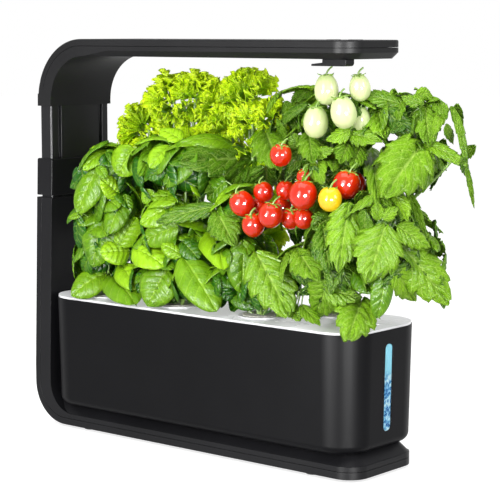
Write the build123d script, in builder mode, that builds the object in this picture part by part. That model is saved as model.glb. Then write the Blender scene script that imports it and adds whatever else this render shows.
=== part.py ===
"""Countertop hydroponic garden: a C-shaped lamp stand, a pull-out tank with a deck of pods, and plants.

Millimetres. +X runs along the garden away from the column, -Y is the front, +Z is up.
Every piece is drawn from the middle of the stand's footprint on the table. As it is written, it moves
along X so that the origin lies under the middle of the whole garden, with the tomato plant's overhang.
"""

import os
from math import atan, cos, degrees, radians, sin, sqrt, tan

from build123d import *

os.makedirs("parts", exist_ok=True)

# ---- Stand: base, column and collar -------------------------------------------------------------
stand_length = 400.0
stand_width = 98.0
foot_height = 3.0
rim_height = 11.5  # upright rim of the base, above the feet
plinth_height = 10.0  # sloping plinth above the rim
plinth_ledge = 0.8
plinth_slope = 45.0
base_corner_radius = 20.0
shell_wall = 2.5
shell_split = 6.5  # depth of the outer half of every two-part casing
seam_gap = 0.4  # shadow line between casing halves
column_thickness = 21.0
column_draft = 1.75  # degrees by which each side of the column leans in
draft_start = 60.0
column_height = 229.0
lower_bend_outer = 40.0
lower_bend_inner = 30.0
collar_gap = 2.0
collar_height = 36.7
collar_chamfer = 0.8

# ---- Telescoping mast ---------------------------------------------------------------------------
mast_width = 80.6
mast_thickness = 15.5
mast_wall = 2.0
mast_fit = 0.3  # clearance all round between the mast and what it slides in
mast_overlap = 31.0  # mast left in the column at the top of its travel
slide_stop_gap = 0.4  # clearance left at the lower end of a slide
rail_spacing = 58.0
rail_width = 4.6
rail_depth = 3.2
groove_depth = 3.8
pad_thickness = 1.45
pad_fit = 0.05
pad_length = 22.0
pad_width = 10.0
lamp_drop = 51.6  # travel of the lamp down onto the collar
collar_rise = 80.0  # travel of the collar and the lamp up out of the column

# ---- Lamp arm -----------------------------------------------------------------------------------
arm_width = 84.5
arm_thickness = 16.5
skirt_straight = 6.3  # height of the skirt below the upper bend
arm_end = 188.0
arm_corner_radius = 20.0
arm_chamfer = 5.5
arm_top_fillet = 1.5
skirt_wall = 1.5
upper_bend_outer = 60.0
upper_bend_inner = 45.0
mast_socket = 10.0  # length of mast held in the skirt
arm_wall = 2.2
lamp_start = -118.0
lamp_end = 168.0
diffuser_width = 62.0
diffuser_thickness = 2.0
diffuser_lip = 1.6
board_thickness = 1.6
led_size = 3.0
led_height = 0.9
led_pitch_x = 22.0
led_pitch_y = 15.0
led_columns = 12
led_rows = 4
button_diameter = 13.0
button_travel = 1.0
button_proud = 0.4
button_spacing = 24.0
button_x = 150.0
button_gap = 0.25
switch_height = 1.8
arm_screw_x = (-104.0, 30.0, 164.0)
hook_x = 153.0
hook_length = 26.0
hook_width = 12.0
hook_depth = 6.0
hook_tongue = 12.0
hook_tongue_thickness = 1.8
hook_slot = 3.0
hook_inset = 5.7  # from the arm's front face

# ---- Tank and pump ------------------------------------------------------------------------------
tank_rest = 0.2  # gap under the tank on the plinth
tank_height = 107.3
tank_length = 378.5
tank_width = 115.6
tank_column_gap = 2.0
tank_draft = 1.25
tank_corner_radius = 33.0
tank_bottom_fillet = 8.0
tank_wall = 2.2
tank_floor = 2.5
window_width = 10.0
window_height = 79.5
window_middle = 80.0
gasket_width = 1.0
lens_recess = 0.4
pump_x = 104.0
pump_length = 40.0
pump_width = 34.0
pump_height = 28.0
pump_wall = 3.0
chamber_radius = 12.0
chamber_depth = 13.0
impeller_radius = 10.5
impeller_length = 9.0
impeller_hub = 4.0
vane_count = 5
vane_thickness = 1.4
shaft_radius = 1.5
shaft_fit = 0.05
cover_thickness = 2.0
filter_thickness = 6.0
tube_radius = 4.0
tube_bore = 2.5
tube_gap = 0.3
contact_spacing = 16.0
contact_radius = 1.3
contact_gap = 0.1
contact_pad_radius = 3.0
contact_pad_thickness = 1.0

# ---- Deck and pods ------------------------------------------------------------------------------
deck_thickness = 2.0
deck_inset = 0.6
deck_skirt = 6.0
deck_skirt_wall = 2.0
deck_fit = 0.3
pod_hole_radius = 19.0
pod_row = 25.0
pod_margin = 52.0  # from the tank's left end to the first pod
pod_flap_gap = 35.0  # from the last pod to the flap's hinge
pods_per_row = 3
pod_flange_radius = 21.0
pod_flange = 1.6
pod_depth = 42.0
pod_wall = 1.4
pod_draft = 5.0
pod_fit = 0.4
pod_slot_width = 4.0
pod_slot_height = 26.0
pod_slots = 4
sponge_proud = 0.8
sponge_fit = 0.2
hinge_margin = 41.5  # from the fill flap's hinge to the tank's right end
hinge_radius = 2.0
hinge_length = 30.0
hinge_pin_radius = 0.8
hinge_fit = 0.05
ear_width = 3.0
flap_shoulder = 3.5  # from the axis to the full width of the flap
flap_length = 26.0
flap_width = 38.0
flap_thickness = 1.2
flap_gap = 0.4
flap_swing_gap = 0.7  # behind the flap, for its lower corner as it turns up
flap_seat_gap = 0.1
fill_ledge = 3.0
finger_notch = 9.0

# ---- Fastenings and electrics -------------------------------------------------------------------
screw_radius = 1.45
screw_fit = 0.05
screw_length = 12.0
screw_head_radius = 2.8
screw_head_height = 1.8
boss_radius = 3.6
base_screw_x = (-120.0, 20.0, 176.0)
base_screw_y = 28.0
foot_radius = 7.0
foot_recess = 1.0
foot_x = (-135.0, 145.0)
foot_y = 36.0
jack_height = 53.0
jack_size = 11.0
jack_depth = 13.0
jack_bore_radius = 3.0
jack_bore_depth = 9.0
jack_pin_radius = 1.0
pcb_length = 60.0
pcb_width = 40.0
standoff_height = 2.5
standoff_radius = 2.6

# ---- Plants -------------------------------------------------------------------------------------
stem_gap = 0.3
plant_gap = 2.0  # clear space between two crowns
tomato_gap = 0.4
stem_radius = 4.0
crown_depth = 65.0  # reach of the crowns to the front and to the back
crown_headroom = 2.5  # clear space under the hook
crown_overhang = 149.0  # reach of the tomato plant to the right of its pod
tomato_margin = 24.0  # from the last front pod to the tomato plant where it stands in front
canopy_margin = 26.0  # from the second lettuce's pod to the tomato plant's upper canopy
canopy_height = 262.0  # underside of the canopy where it spreads over the basil
facet_sides = 8
lobe_turn = 17.0  # degrees from one mass of leaves to the next
fruit_stretch = 1.08
plum_stretch = 1.3

# ---- Places worked out from the sizes above -----------------------------------------------------
far = 2 * stand_length
base_bottom = foot_height
rim_top = base_bottom + rim_height
plinth_top = rim_top + plinth_height
column_out = -stand_length / 2
column_in = column_out + column_thickness
base_end = stand_length / 2
collar_bottom = column_height + collar_gap
collar_top = collar_bottom + collar_height
mast_x = column_out + column_thickness / 2
mast_out = mast_x - mast_thickness / 2
mast_in = mast_x + mast_thickness / 2
mast_bottom = column_height - collar_rise - mast_overlap
mast_floor = mast_bottom - lamp_drop - slide_stop_gap
skirt_bottom = collar_top + lamp_drop + slide_stop_gap
skirt_out = mast_out - skirt_wall
skirt_in = mast_in + skirt_wall
arm_height = skirt_bottom + skirt_straight + upper_bend_outer
arm_bottom = arm_height - arm_thickness
arm_seam = arm_height - shell_split
tank_bottom = plinth_top + tank_rest
tank_top = tank_bottom + tank_height
tank_start = column_in + tank_column_gap
tank_x = tank_start + tank_length / 2
tank_end = tank_start + tank_length
deck_top = tank_top + deck_thickness
groove_width = rail_width + 2 * mast_fit
hinge_x = tank_end - hinge_margin
first_pod_x = tank_start + pod_margin
pod_pitch = (hinge_x - pod_flap_gap - first_pod_x) / (pods_per_row - 0.5)
tomato_start = first_pod_x + (pods_per_row - 1) * pod_pitch + tomato_margin
canopy_start = first_pod_x + 1.5 * pod_pitch + canopy_margin
crown_reach = hinge_x - pod_flap_gap + crown_overhang
garden_middle = (column_out + crown_reach) / 2
inner_lean = tan(radians(tank_draft))


def side_width(height):
    """Width of the column or collar at a height, as its sides lean in above the bend."""
    return stand_width - 2 * tan(radians(column_draft)) * max(0.0, height - draft_start)


def box_between(low, high):
    """A plain block between two corners, used as a tool or as a simple piece."""
    with BuildPart() as block:
        with BuildSketch(Plane.XY.offset(low[2])):
            with Locations(((low[0] + high[0]) / 2, (low[1] + high[1]) / 2)):
                Rectangle(high[0] - low[0], high[1] - low[1])
        extrude(amount=high[2] - low[2])
    return block.part


def upright(points, radius, low, high):
    """Round bars or holes standing on a height, one at each point."""
    with BuildPart() as bars:
        with BuildSketch(Plane.XY.offset(low)):
            with Locations(*points):
                Circle(radius)
        extrude(amount=high - low)
    return bars.part


def save(builder, name):
    """Label a finished piece, move it to the model's origin and write it."""
    builder.part.label = name
    builder.part.move(Location((-garden_middle, 0, 0)))
    export_step(builder.part, f"parts/{name}.step")


# ================================================================================================
# Stand
# ================================================================================================

# Side view of base, bend and column, shared by both casing halves.
with BuildSketch(Plane.XZ) as stand_side:
    with BuildLine():
        Polyline(
            (column_out, base_bottom), (base_end, base_bottom), (base_end, rim_top), (column_in, rim_top),
            (column_in, column_height), (column_out, column_height), close=True,
        )
    make_face()
    fillet(stand_side.vertices().sort_by_distance((column_out, base_bottom))[0], lower_bend_outer)
    fillet(stand_side.vertices().sort_by_distance((column_in, rim_top))[0], lower_bend_inner)

# The outer half's share of that side view: a strip of even depth along the outside.
with BuildSketch(Plane.XZ) as stand_strip:
    with BuildLine():
        Polyline(
            (column_out, base_bottom), (base_end, base_bottom), (base_end, base_bottom + shell_split),
            (column_out + shell_split, base_bottom + shell_split), (column_out + shell_split, column_height),
            (column_out, column_height), close=True,
        )
    make_face()
    fillet(stand_strip.vertices().sort_by_distance((column_out, base_bottom))[0], lower_bend_outer)
    strip_corner = (column_out + shell_split, base_bottom + shell_split)
    fillet(stand_strip.vertices().sort_by_distance(strip_corner)[0], lower_bend_outer - shell_split)

# Front view: the sides lean in from the bend up to the collar's top.
with BuildSketch(Plane.YZ) as stand_front:
    with BuildLine():
        Polyline(
            (-stand_width / 2, base_bottom), (stand_width / 2, base_bottom), (stand_width / 2, draft_start),
            (side_width(collar_top) / 2, collar_top), (-side_width(collar_top) / 2, collar_top),
            (-stand_width / 2, draft_start), close=True,
        )
    make_face()

with BuildPart() as leaning_sides:
    extrude(stand_front.sketch, amount=far, both=True)

with BuildPart() as stand_solid:
    extrude(stand_side.sketch, amount=stand_width / 2, both=True)
    free_corners = stand_solid.edges().filter_by(Axis.Z).group_by(Axis.X)[-1]
    fillet(free_corners, base_corner_radius)
    add(leaning_sides.part, mode=Mode.INTERSECT)

with BuildPart() as outer_strip:
    extrude(stand_strip.sketch, amount=stand_width, both=True)

with BuildPart() as seam_cut:
    with BuildSketch(Plane.XZ):
        add(stand_strip.sketch)
        offset(amount=seam_gap)
    extrude(amount=stand_width, both=True)

# The plinth that the tank slides over, with 45 degree sides.
plinth_start = column_in - shell_split
plinth_length = base_end - plinth_ledge - plinth_start
with BuildPart() as plinth:
    with BuildSketch(Plane.XY.offset(rim_top)) as plinth_plan:
        with Locations((plinth_start + plinth_length / 2, 0)):
            Rectangle(plinth_length, stand_width - 2 * plinth_ledge)
        fillet(plinth_plan.vertices().group_by(Axis.X)[-1], base_corner_radius - plinth_ledge)
    extrude(amount=plinth_height, taper=plinth_slope)

# The hollow of the base: straight sides in the rim, then sloping under the plinth.
hollow_start = column_in + lower_bend_inner / 2
hollow_length = base_end - shell_wall - hollow_start
hollow_bottom = base_bottom + shell_wall
hollow_shoulder = rim_top - shell_wall
hollow_top = plinth_top - shell_wall
with BuildPart() as base_hollow:
    with BuildSketch(Plane.XY.offset(hollow_bottom)) as hollow_plan:
        with Locations((hollow_start + hollow_length / 2, 0)):
            Rectangle(hollow_length, stand_width - 2 * shell_wall)
        fillet(hollow_plan.vertices().group_by(Axis.X)[-1], base_corner_radius - shell_wall)
    extrude(amount=hollow_shoulder - hollow_bottom)
    extrude(base_hollow.faces().sort_by(Axis.Z)[-1], amount=hollow_top - hollow_shoulder, taper=plinth_slope)

# The channel that the mast slides in, and the pocket of the power jack below it.
channel_width = mast_width + 2 * mast_fit
channel_thickness = mast_thickness + 2 * mast_fit
mast_channel = box_between(
    (mast_x - channel_thickness / 2, -channel_width / 2, mast_floor),
    (mast_x + channel_thickness / 2, channel_width / 2, arm_height),
)
jack_pocket = box_between(
    (column_out - shell_wall, -jack_size / 2 - seam_gap / 2, jack_height - jack_size / 2 - seam_gap / 2),
    (column_out + jack_depth, jack_size / 2 + seam_gap / 2, jack_height + jack_size / 2 + seam_gap / 2),
)

# Pockets for the friction pads on both sides of the mast.
pad_inner = mast_width / 2 + pad_fit
pad_outer = pad_inner + pad_thickness
column_pad_z = column_height - 2 * shell_wall - pad_length
collar_pad_z = collar_bottom + (collar_height - pad_length) / 2


def pad_blocks(low):
    """The two friction pads at a height, one on each side of the mast."""
    return [
        box_between(
            (mast_x - pad_width / 2, min(side * pad_inner, side * pad_outer), low),
            (mast_x + pad_width / 2, max(side * pad_inner, side * pad_outer), low + pad_length),
        )
        for side in (-1, 1)
    ]


base_screw_points = [(x, side * base_screw_y) for x in base_screw_x for side in (-1, 1)]
contact_points = [(pump_x, side * contact_spacing / 2) for side in (-1, 1)]
foot_points = [(x, side * foot_y) for x in foot_x for side in (-1, 1)]
upper_floor = base_bottom + shell_split + seam_gap
screw_seat = base_bottom + foot_recess + screw_head_height

with BuildPart() as base_upper_housing:
    add(stand_solid.part)
    add(plinth.part)
    add(seam_cut.part, mode=Mode.SUBTRACT)
    add(base_hollow.part, mode=Mode.SUBTRACT)
    add(mast_channel, mode=Mode.SUBTRACT)
    add(jack_pocket, mode=Mode.SUBTRACT)
    add(pad_blocks(column_pad_z), mode=Mode.SUBTRACT)
    add(upright(base_screw_points, boss_radius, upper_floor, hollow_top))
    add(upright(base_screw_points, screw_radius + screw_fit, upper_floor, hollow_top - 1), mode=Mode.SUBTRACT)
    add(upright(contact_points, contact_radius + contact_gap, hollow_bottom, plinth_top), mode=Mode.SUBTRACT)
save(base_upper_housing, "base_upper_housing")

standoff_points = [
    (pump_x + side_x * (pcb_length / 2 - standoff_radius), side_y * (pcb_width / 2 - standoff_radius))
    for side_x in (-1, 1)
    for side_y in (-1, 1)
]
with BuildPart() as base_lower_cover:
    add(stand_solid.part)
    add(outer_strip.part, mode=Mode.INTERSECT)
    add(base_hollow.part, mode=Mode.SUBTRACT)
    add(mast_channel, mode=Mode.SUBTRACT)
    add(jack_pocket, mode=Mode.SUBTRACT)
    add(upright(base_screw_points, boss_radius, hollow_bottom, upper_floor - seam_gap))
    add(upright(base_screw_points, screw_radius + screw_fit, base_bottom, upper_floor), mode=Mode.SUBTRACT)
    add(upright(base_screw_points, screw_head_radius + screw_fit, base_bottom, screw_seat),
        mode=Mode.SUBTRACT)
    add(upright(foot_points, foot_radius + screw_fit, base_bottom, base_bottom + foot_recess),
        mode=Mode.SUBTRACT)
    add(upright(standoff_points, standoff_radius, hollow_bottom, hollow_bottom + standoff_height))
    add(pad_blocks(column_pad_z), mode=Mode.SUBTRACT)
save(base_lower_cover, "base_lower_cover")

with BuildPart() as base_screws:
    add(upright(base_screw_points, screw_head_radius, screw_seat - screw_head_height, screw_seat))
    add(upright(base_screw_points, screw_radius, screw_seat, screw_seat + screw_length))
save(base_screws, "base_screws")

with BuildPart() as rubber_feet:
    add(upright(foot_points, foot_radius, 0, base_bottom + foot_recess))
    chamfer(rubber_feet.edges().group_by(Axis.Z)[0], foot_height / 4)
save(rubber_feet, "rubber_feet")

with BuildPart() as power_jack:
    add(box_between(
        (column_out, -jack_size / 2, jack_height - jack_size / 2),
        (column_out + jack_depth, jack_size / 2, jack_height + jack_size / 2),
    ))
    with BuildSketch(Plane.YZ.offset(column_out)):
        with Locations((0, jack_height)):
            Circle(jack_bore_radius)
            Circle(jack_pin_radius, mode=Mode.SUBTRACT)
    extrude(amount=jack_bore_depth, mode=Mode.SUBTRACT)
save(power_jack, "power_jack")

board_bottom = hollow_bottom + standoff_height
with BuildPart() as control_board:
    with BuildSketch(Plane.XY.offset(board_bottom)):
        with Locations((pump_x, 0)):
            Rectangle(pcb_length, pcb_width)
    extrude(amount=board_thickness)
    chip = 10.0
    with BuildSketch(Plane.XY.offset(board_bottom + board_thickness)):
        with Locations((pump_x - pcb_length / 4, 0), (pump_x + pcb_length / 4, chip)):
            Rectangle(chip, chip)
        with Locations((pump_x + pcb_length / 4, -chip)):
            Circle(chip / 3)
    extrude(amount=chip / 4)
save(control_board, "control_board")

with BuildPart() as pump_contact_pins:
    add(upright(contact_points, contact_radius, board_bottom + board_thickness, tank_bottom - contact_gap))
save(pump_contact_pins, "pump_contact_pins")

# ================================================================================================
# Collar and mast
# ================================================================================================

with BuildPart() as collar:
    add(box_between(
        (column_out, -stand_width / 2, collar_bottom), (column_in, stand_width / 2, collar_top)
    ))
    add(leaning_sides.part, mode=Mode.INTERSECT)
    chamfer(collar.faces().sort_by(Axis.Z)[-1].edges(), collar_chamfer)
    add(mast_channel, mode=Mode.SUBTRACT)
    add(pad_blocks(collar_pad_z), mode=Mode.SUBTRACT)
save(collar, "collar")

rail_back = mast_in - rail_depth
rail_top = collar_top - shell_wall
with BuildPart() as collar_rails:
    for side in (-1, 1):
        low_y = side * rail_spacing / 2 - rail_width / 2
        high_y = low_y + rail_width
        add(box_between((rail_back, low_y, mast_bottom), (mast_in, high_y, rail_top)))
        add(box_between((rail_back, low_y, collar_bottom), (mast_in + mast_fit, high_y, rail_top)))
save(collar_rails, "collar_rails")

with BuildPart() as collar_friction_pads:
    add(pad_blocks(collar_pad_z))
save(collar_friction_pads, "collar_friction_pads")

with BuildPart() as column_friction_pads:
    add(pad_blocks(column_pad_z))
save(column_friction_pads, "column_friction_pads")

mast_top = skirt_bottom + mast_socket
with BuildPart() as mast:
    with BuildSketch(Plane.XY.offset(mast_bottom)):
        with Locations((mast_x, 0)):
            RectangleRounded(mast_thickness, mast_width, mast_wall)
        groove_floor = mast_in - groove_depth
        with Locations(((mast_out + mast_wall + groove_floor - mast_wall) / 2, 0)):
            Rectangle(groove_floor - mast_out - 2 * mast_wall, mast_width - 2 * mast_wall, mode=Mode.SUBTRACT)
        with Locations(*[(mast_in - groove_depth / 2, side * rail_spacing / 2) for side in (-1, 1)]):
            Rectangle(groove_depth, groove_width, mode=Mode.SUBTRACT)
    extrude(amount=mast_top - mast_bottom)
save(mast, "mast")

# ================================================================================================
# Lamp arm
# ================================================================================================

with BuildSketch(Plane.XZ) as arm_side:
    with BuildLine():
        Polyline(
            (skirt_out, skirt_bottom), (skirt_out, arm_height), (arm_end, arm_height), (arm_end, arm_bottom),
            (skirt_in, arm_bottom), (skirt_in, skirt_bottom), close=True,
        )
    make_face()
    fillet(arm_side.vertices().sort_by_distance((skirt_out, arm_height))[0], upper_bend_outer)
    fillet(arm_side.vertices().sort_by_distance((skirt_in, arm_bottom))[0], upper_bend_inner)

# The outer half's share: a strip of even depth over the bend and the top.
cover_bottom = skirt_bottom + mast_socket + shell_wall
with BuildSketch(Plane.XZ) as arm_strip:
    with BuildLine():
        Polyline(
            (skirt_out, cover_bottom - far), (skirt_out, arm_height), (arm_end + far, arm_height),
            (arm_end + far, arm_seam), (skirt_out + shell_split, arm_seam),
            (skirt_out + shell_split, cover_bottom - far), close=True,
        )
    make_face()
    fillet(arm_strip.vertices().sort_by_distance((skirt_out, arm_height))[0], upper_bend_outer)
    arm_strip_corner = (skirt_out + shell_split, arm_seam)
    fillet(arm_strip.vertices().sort_by_distance(arm_strip_corner)[0], upper_bend_outer - shell_split)
    with BuildLine():
        Polyline(
            (skirt_out - far, cover_bottom), (arm_end + 2 * far, cover_bottom), (arm_end + 2 * far, -far),
            (skirt_out - far, -far), close=True,
        )
    make_face(mode=Mode.SUBTRACT)

with BuildPart() as arm_solid:
    extrude(arm_side.sketch, amount=arm_width / 2, both=True)
    fillet(arm_solid.edges().filter_by(Axis.Z).group_by(Axis.X)[-1], arm_corner_radius)
    # The lower edge of the straight arm is cut back at 45 degrees, round the free end too.
    with BuildSketch(Plane.XY.offset(arm_bottom)) as chamfer_plan:
        bend_end = skirt_in + upper_bend_inner
        with Locations(((bend_end + arm_end) / 2, 0)):
            Rectangle(arm_end - bend_end, arm_width)
        fillet(chamfer_plan.vertices().group_by(Axis.X)[-1], arm_corner_radius)
    extrude(amount=arm_chamfer, mode=Mode.SUBTRACT)
    with BuildSketch(Plane.XY.offset(arm_bottom + arm_chamfer)) as keel_plan:
        with Locations(((bend_end + arm_end) / 2, 0)):
            Rectangle(arm_end - bend_end, arm_width)
        fillet(keel_plan.vertices().group_by(Axis.X)[-1], arm_corner_radius)
    extrude(amount=-arm_chamfer, taper=45)
    with BuildSketch(Plane.XY.offset(arm_bottom)):
        with Locations((bend_end + arm_chamfer, 0)):
            Rectangle(2 * arm_chamfer, arm_width - 2 * arm_chamfer)
    extrude(amount=arm_chamfer)

with BuildPart() as arm_outer_strip:
    extrude(arm_strip.sketch, amount=stand_width, both=True)

with BuildPart() as arm_seam_cut:
    with BuildSketch(Plane.XZ):
        add(arm_strip.sketch)
        offset(amount=seam_gap)
    extrude(amount=stand_width, both=True)

socket_hole = box_between(
    (mast_out - mast_fit / 2, -mast_width / 2 - mast_fit / 2, skirt_bottom - mast_socket),
    (mast_in + mast_fit / 2, mast_width / 2 + mast_fit / 2, mast_top),
)

# The lamp's tray: diffuser below, board above it, open to the cover.
lamp_length = lamp_end - lamp_start
lamp_x = (lamp_start + lamp_end) / 2
tray_width = diffuser_width + 2 * diffuser_lip
tray_floor = arm_bottom + diffuser_thickness
tray_top = arm_height - arm_wall
tray_length = lamp_length + 2 * diffuser_lip
lamp_window = box_between(
    (lamp_start - seam_gap, -diffuser_width / 2 - seam_gap, arm_bottom - shell_wall),
    (lamp_end + seam_gap, diffuser_width / 2 + seam_gap, tray_floor),
)
lamp_tray = box_between(
    (lamp_x - tray_length / 2, -tray_width / 2, tray_floor),
    (lamp_x + tray_length / 2, tray_width / 2, tray_top),
)
board_low = tray_floor + diffuser_thickness + 2 * led_height
button_points = [(button_x + side * button_spacing / 2, 0) for side in (-1, 1)]
arm_screw_y = tray_width / 2 - seam_gap - boss_radius
arm_screw_points = [(x, side * arm_screw_y) for x in arm_screw_x for side in (-1, 1)]

with BuildPart() as arm_housing:
    add(arm_solid.part)
    add(arm_seam_cut.part, mode=Mode.SUBTRACT)
    add(socket_hole, mode=Mode.SUBTRACT)
    add(lamp_tray, mode=Mode.SUBTRACT)
    add(lamp_window, mode=Mode.SUBTRACT)
save(arm_housing, "arm_housing")

with BuildPart() as arm_top_cover:
    add(arm_solid.part)
    add(arm_outer_strip.part, mode=Mode.INTERSECT)
    fillet(arm_top_cover.faces().filter_by(Axis.Z).sort_by(Axis.Z)[-1].edges(), arm_top_fillet)
    add(lamp_tray, mode=Mode.SUBTRACT)
    add(socket_hole, mode=Mode.SUBTRACT)
    add(upright(arm_screw_points, boss_radius, board_low + board_thickness, tray_top))
    add(upright(arm_screw_points, screw_radius + screw_fit, board_low, tray_top - 1), mode=Mode.SUBTRACT)
    add(upright(button_points, button_diameter / 2 + button_gap, tray_top - 1, arm_height + 1),
        mode=Mode.SUBTRACT)
save(arm_top_cover, "arm_top_cover")

with BuildPart() as led_board:
    with BuildSketch(Plane.XY.offset(board_low)):
        with Locations((lamp_x, 0)):
            Rectangle(tray_length - 2 * seam_gap, tray_width - 2 * seam_gap)
        with Locations(*arm_screw_points):
            Circle(screw_radius + screw_fit, mode=Mode.SUBTRACT)
    extrude(amount=board_thickness)
save(led_board, "led_board")


def led_places(red):
    """The board's grid of diodes; every third one is red."""
    return [
        (lamp_x + (i - (led_columns - 1) / 2) * led_pitch_x, (j - (led_rows - 1) / 2) * led_pitch_y)
        for i in range(led_columns)
        for j in range(led_rows)
        if ((i + j) % 3 == 0) == red
    ]


for led_name, led_red in (("white_leds", False), ("red_leds", True)):
    with BuildPart() as leds:
        with BuildSketch(Plane.XY.offset(board_low - led_height)):
            with Locations(*led_places(led_red)):
                Rectangle(led_size, led_size)
        extrude(amount=led_height)
    save(leds, led_name)

with BuildPart() as light_diffuser:
    add(box_between(
        (lamp_start, -diffuser_width / 2, arm_bottom), (lamp_end, diffuser_width / 2, tray_floor)
    ))
    add(box_between(
        (lamp_x - tray_length / 2 + seam_gap, -tray_width / 2 + seam_gap, tray_floor),
        (lamp_x + tray_length / 2 - seam_gap, tray_width / 2 - seam_gap, tray_floor + diffuser_thickness),
    ))
    with BuildSketch(Plane.XY.offset(tray_floor + diffuser_thickness)):
        with Locations((lamp_x, 0)):
            Rectangle(tray_length - 2 * seam_gap, tray_width - 2 * seam_gap)
            Rectangle(tray_length - 2 * shell_wall, tray_width - 2 * shell_wall, mode=Mode.SUBTRACT)
    extrude(amount=board_low - tray_floor - diffuser_thickness)
    add(upright(arm_screw_points, screw_head_radius + screw_fit, tray_floor + 1, board_low),
        mode=Mode.SUBTRACT)
save(light_diffuser, "light_diffuser")

arm_screw_length = tray_top - 1 - board_low - board_thickness
with BuildPart() as arm_screws:
    add(upright(arm_screw_points, screw_head_radius, board_low - screw_head_height, board_low))
    add(upright(arm_screw_points, screw_radius, board_low, board_low + arm_screw_length))
save(arm_screws, "arm_screws")

# Two push buttons on top of the arm, over a small switch board.
button_bottom = tray_top - 1 - button_travel
for button_name, button_point in zip(("power_button", "mode_button"), button_points):
    with BuildPart() as button:
        add(upright([button_point], button_diameter / 2, button_bottom, arm_height + button_proud))
        fillet(button.edges().group_by(Axis.Z)[-1], button_proud / 2)
    save(button, button_name)

switch_top = button_bottom - button_travel - button_gap
with BuildPart() as button_board:
    add(box_between(
        (button_x - button_spacing, -button_diameter, board_low + board_thickness),
        (button_x + button_spacing / 2 + button_diameter / 2, button_diameter, switch_top - switch_height),
    ))
    add(upright(button_points, button_diameter / 4, switch_top - switch_height, switch_top))
save(button_board, "button_board")

# The hook under the arm: a block with a tongue that opens towards the column.
hook_front = -arm_width / 2 + hook_inset
with BuildPart() as support_hook:
    with BuildSketch(Plane.XZ.offset(-hook_front)):
        with BuildLine():
            Polyline(
                (hook_x, arm_bottom), (hook_x + hook_length, arm_bottom),
                (hook_x + hook_length, arm_bottom - hook_depth),
                (hook_x - hook_tongue, arm_bottom - hook_depth),
                (hook_x - hook_tongue, arm_bottom - hook_depth + hook_tongue_thickness),
                (hook_x, arm_bottom - hook_slot), close=True,
            )
        make_face()
    extrude(amount=-hook_width)
    fillet(support_hook.edges().filter_by(Axis.Y).sort_by_distance(
        (hook_x + hook_length, hook_front + hook_width / 2, arm_bottom - hook_depth))[0], hook_depth / 2)
save(support_hook, "support_hook")

# ================================================================================================
# Tank and pump
# ================================================================================================


def tank_prism(inset, low, high, draft_from):
    """A drafted block with the tank's plan, inset from its outer wall."""
    grow = inner_lean * (draft_from - low)
    with BuildPart() as prism:
        with BuildSketch(Plane.XY.offset(low)):
            with Locations((tank_x, 0)):
                RectangleRounded(
                    tank_length - 2 * (inset + grow), tank_width - 2 * (inset + grow),
                    tank_corner_radius - inset - grow,
                )
        extrude(amount=high - low, taper=-tank_draft)
    return prism.part


tank_inside = tank_prism(tank_wall, tank_bottom + tank_floor, tank_top + deck_skirt, tank_top)
with BuildPart() as tank_block:
    add(tank_prism(0, tank_bottom, tank_top, tank_top))
    fillet(tank_block.faces().sort_by(Axis.Z)[0].edges(), tank_bottom_fillet)
with BuildPart() as tank_hollow:
    add(tank_inside)
    fillet(tank_hollow.faces().sort_by(Axis.Z)[0].edges(), tank_bottom_fillet - tank_wall)

# The end wall leans with the draft, so the window is set square to it.
window_drop = tank_top - window_middle
window_plane = Plane(
    origin=(tank_end - window_drop * inner_lean, 0, window_middle),
    x_dir=(0, 1, 0),
    z_dir=(cos(radians(tank_draft)), 0, -sin(radians(tank_draft))),
)


def window_slot(grow, outer, inner):
    """A stadium set into the end wall, from one depth to another below the wall's face."""
    with BuildPart() as slot:
        with BuildSketch(window_plane.offset(-outer)):
            SlotOverall(window_height + 2 * grow, window_width + 2 * grow, rotation=90)
        extrude(amount=outer - inner)
    return slot.part


with BuildPart() as tank:
    add(tank_block.part)
    add(tank_hollow.part, mode=Mode.SUBTRACT)
    add(window_slot(0, -1, tank_wall + 1), mode=Mode.SUBTRACT)
    add(upright(contact_points, contact_pad_radius, tank_bottom - 1, tank_bottom + contact_pad_thickness),
        mode=Mode.SUBTRACT)
save(tank, "tank")

with BuildPart() as window_gasket:
    add(window_slot(0, lens_recess / 2, tank_wall))
    add(window_slot(-gasket_width, -1, tank_wall + 1), mode=Mode.SUBTRACT)
save(window_gasket, "window_gasket")

with BuildPart() as window_lens:
    add(window_slot(-gasket_width, lens_recess, tank_wall))
save(window_lens, "window_lens")

with BuildPart() as tank_contact_pads:
    add(upright(contact_points, contact_pad_radius, tank_bottom, tank_bottom + contact_pad_thickness))
save(tank_contact_pads, "tank_contact_pads")

pump_floor = tank_bottom + tank_floor
pump_front = -pump_width / 2
chamber_z = pump_floor + pump_height / 2
with BuildPart() as pump_housing:
    add(box_between(
        (pump_x - pump_length / 2, pump_front, pump_floor),
        (pump_x + pump_length / 2, -pump_front, pump_floor + pump_height),
    ))
    fillet(pump_housing.edges().filter_by(Axis.Z), pump_wall)
    with BuildSketch(Plane.XZ.offset(-pump_front)):
        with Locations((pump_x, chamber_z)):
            Circle(chamber_radius)
    extrude(amount=-chamber_depth, mode=Mode.SUBTRACT)
    with BuildSketch(Plane.XZ.offset(-pump_front)):
        with Locations((pump_x, chamber_z)):
            Circle(shaft_radius + shaft_fit)
    extrude(amount=-(pump_width - pump_wall), mode=Mode.SUBTRACT)
    with BuildSketch(Plane.XY.offset(chamber_z)):
        with Locations((pump_x, pump_front + chamber_depth / 2)):
            Circle(tube_bore)
    extrude(amount=pump_height, mode=Mode.SUBTRACT)
save(pump_housing, "pump_housing")

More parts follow.
